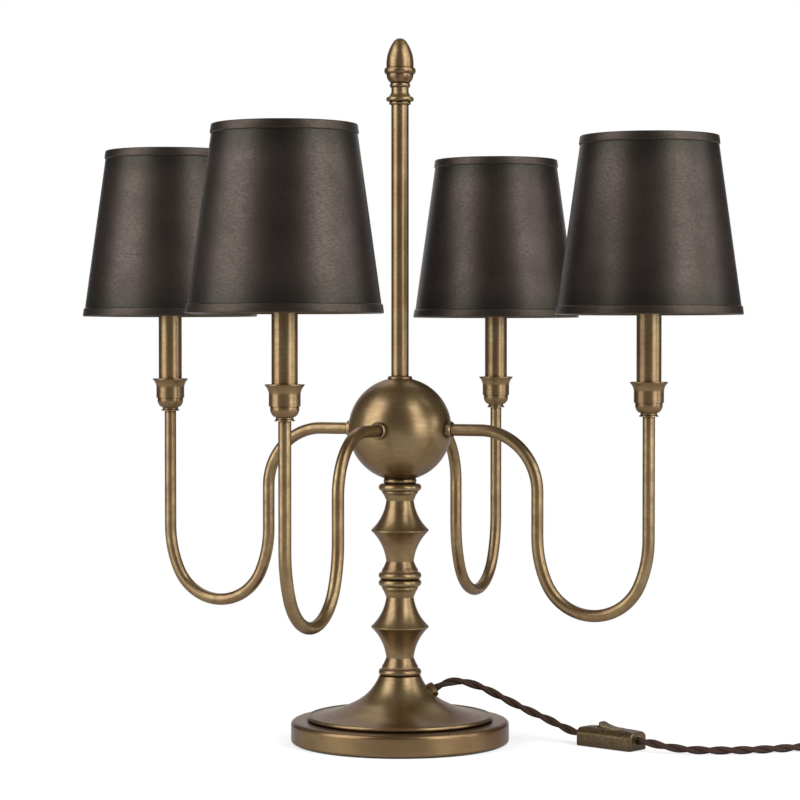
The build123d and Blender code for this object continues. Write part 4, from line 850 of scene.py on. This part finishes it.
# Width of a full-frame sensor, mm.
SENSOR_WIDTH = 36


def seen_rays(tree):
    """Share that is one for camera, glossy and transmission rays."""
    path = add_node(tree, "LightPath").outputs
    both = add_node(tree, "Math", {0: path["Is Camera Ray"], 1: path["Is Glossy Ray"]},
                    operation="MAXIMUM").outputs[0]
    return add_node(tree, "Math", {0: both, 1: path["Is Transmission Ray"]}, operation="MAXIMUM").outputs[0]


def light_world(scene):
    """White where it is seen, and a soft fill for the rest."""
    scene.view_settings.view_transform = "Standard"
    scene.world = bpy.data.worlds.new("studio")
    scene.world.use_nodes = True
    tree = scene.world.node_tree
    tree.nodes.clear()
    seen = seen_rays(tree)
    strength = add_node(tree, "MapRange", {0: seen, 1: 0.0, 2: 1.0, 3: FILL_LIGHT, 4: 1.0}).outputs[0]
    colour = rgba(scene.lamp_colours.backdrop)
    background = add_node(tree, "Background", {"Color": colour, "Strength": strength}).outputs[0]
    add_node(tree, "OutputWorld", {"Surface": background})


def white_table():
    """A wide white floor that keeps a soft contact shadow."""
    mesh = bpy.data.meshes.new("table_top")
    half = TABLE_HALF
    corners = [(-half, -half, 0), (half, -half, 0), (half, half, 0), (-half, half, 0)]
    mesh.from_pydata(corners, [], [(0, 1, 2, 3)])
    table = bpy.data.objects.new("table_top", mesh)
    bpy.context.collection.objects.link(table)
    made, tree, shader = new_material("matt_white_paper", roughness=1.0, specular_ior_level=0.0)
    colour = rgba(bpy.context.scene.lamp_colours.backdrop)
    place = add_node(tree, "TexCoord").outputs["Object"]
    fibre = add_node(tree, "TexNoise", {"Vector": place, "Scale": 1 / (3 * MM)}).outputs["Fac"]
    tint = add_node(tree, "Mix", {0: fibre, 6: rgba(linear("F7F7F7")), 7: colour},
                    data_type="RGBA").outputs[2]
    tree.links.new(tint, shader.inputs["Base Color"])
    glow = add_node(tree, "Emission", {"Color": colour, "Strength": 1.0}).outputs[0]
    reach = add_node(tree, "VectorMath", {0: place}, operation="LENGTH").outputs["Value"]
    fade = {0: reach, 1: SHADOW_START, 2: SHADOW_END, 3: SHADOW_CLEAR, 4: 1.0}
    clear = add_node(tree, "MapRange", fade).outputs[0]
    share = add_node(tree, "Math", {0: seen_rays(tree), 1: clear}, operation="MULTIPLY").outputs[0]
    mixed = add_node(tree, "MixShader", {0: share, 1: shader.outputs[0], 2: glow}).outputs[0]
    tree.links.new(mixed, tree.nodes["Material Output"].inputs["Surface"])
    mesh.materials.append(made)


def studio_place(angle, rise, distance):
    """A place round the lamp: degrees from the camera's side towards its right, degrees up, metres."""
    turn = math.radians(angle)
    up = math.radians(rise)
    point = in_view(math.sin(turn) * math.cos(up) * distance, -math.cos(turn) * math.cos(up) * distance, 0)
    return point + Vector((0, 0, AIM_HEIGHT + math.sin(up) * distance))


def soft_box(name, angle, rise, width, height, power):
    """A tall soft light that faces the lamp."""
    light = bpy.data.lights.new(name, "AREA")
    light.shape = "RECTANGLE"
    light.size = width
    light.size_y = height
    light.energy = power
    made = bpy.data.objects.new(name, light)
    made.location = studio_place(angle, rise, LIGHT_DISTANCE)
    towards = Vector((0, 0, AIM_HEIGHT)) - made.location
    made.rotation_euler = towards.to_track_quat("-Z", "Y").to_euler()
    bpy.context.collection.objects.link(made)


def dark_room():
    """Dark cards round and over the lights, open behind the lamp, which only reflections show."""
    card_angle = 360 / ROOM_CARDS
    vertices = []
    for step in range(ROOM_CARDS):
        place = studio_place(step * card_angle, 0, ROOM_RADIUS)
        vertices += [(place.x, place.y, ROOM_BOTTOM), (place.x, place.y, ROOM_TOP)]
    faces = []
    for step in range(ROOM_CARDS):
        if abs((step + 0.5) * card_angle - 180) < OPENING_HALF:
            continue
        here = 2 * step
        there = 2 * ((step + 1) % ROOM_CARDS)
        faces.append((here, there, there + 1, here + 1))
    faces.append(tuple(2 * step + 1 for step in range(ROOM_CARDS)))
    mesh = bpy.data.meshes.new("dark_room")
    mesh.from_pydata(vertices, [], faces)
    # Dull card: it gives the brass its dark reflections between the lights.
    card = mottled("black_card", "575350", "4C4845", grain=2 * MM, rough=0.9, bump=0.0)
    mesh.materials.append(card)
    made = bpy.data.objects.new("dark_room", mesh)
    bpy.context.collection.objects.link(made)
    made.visible_camera = False
    made.visible_diffuse = False
    made.visible_shadow = False


def set_camera(scene):
    """The camera, level with the lamp's upper half and turned a little down."""
    view = scene.lamp_view
    data = bpy.data.cameras.new("camera")
    data.lens = view.lens
    data.sensor_width = SENSOR_WIDTH
    made = bpy.data.objects.new("camera", data)
    made.location = in_view(0, -view.distance, view.height)
    made.rotation_euler = (math.radians(90) - view.pitch, 0, view.turn)
    bpy.context.collection.objects.link(made)
    scene.camera = made


class LAMP_PT_panel(bpy.types.Panel):
    """Sizes, colours and steps of the lamp"""

    bl_label = "Table lamp"
    bl_idname = "LAMP_PT_panel"
    bl_space_type = "VIEW_3D"
    bl_region_type = "UI"
    bl_category = "Lamp"

    def draw(self, context):
        layout = self.layout
        for group in [getattr(context.scene, name) for name in GROUPS]:
            for name in group.bl_rna.properties.keys():
                if name not in ("rna_type", "name"):
                    layout.prop(group, name)
        for step in STEPS:
            layout.operator(step.bl_idname)


GROUPS = {
    "lamp_cord": LampCordSizes,
    "lamp_shade": LampShadeSizes,
    "lamp_colours": LampColours,
    "lamp_view": LampView,
}
STEPS = (LAMP_OT_stage, LAMP_OT_cord, LAMP_OT_metalwork, LAMP_OT_candles, LAMP_OT_shades,
         LAMP_OT_inner_parts, LAMP_OT_switch)


def register():
    """Make the properties, the steps and the panel known to the program."""
    for kind in (*GROUPS.values(), *STEPS, LAMP_PT_panel):
        bpy.utils.register_class(kind)
    for name, kind in GROUPS.items():
        setattr(bpy.types.Scene, name, bpy.props.PointerProperty(type=kind))


def unregister():
    """Take them out again."""
    for name in GROUPS:
        delattr(bpy.types.Scene, name)
    for kind in (LAMP_PT_panel, *reversed(STEPS), *GROUPS.values()):
        bpy.utils.unregister_class(kind)


def main():
    """Build every step in order."""
    register()
    for step in STEPS:
        family, name = step.bl_idname.split(".")
        getattr(getattr(bpy.ops, family), name)()


if __name__ == "__main__":
    main()
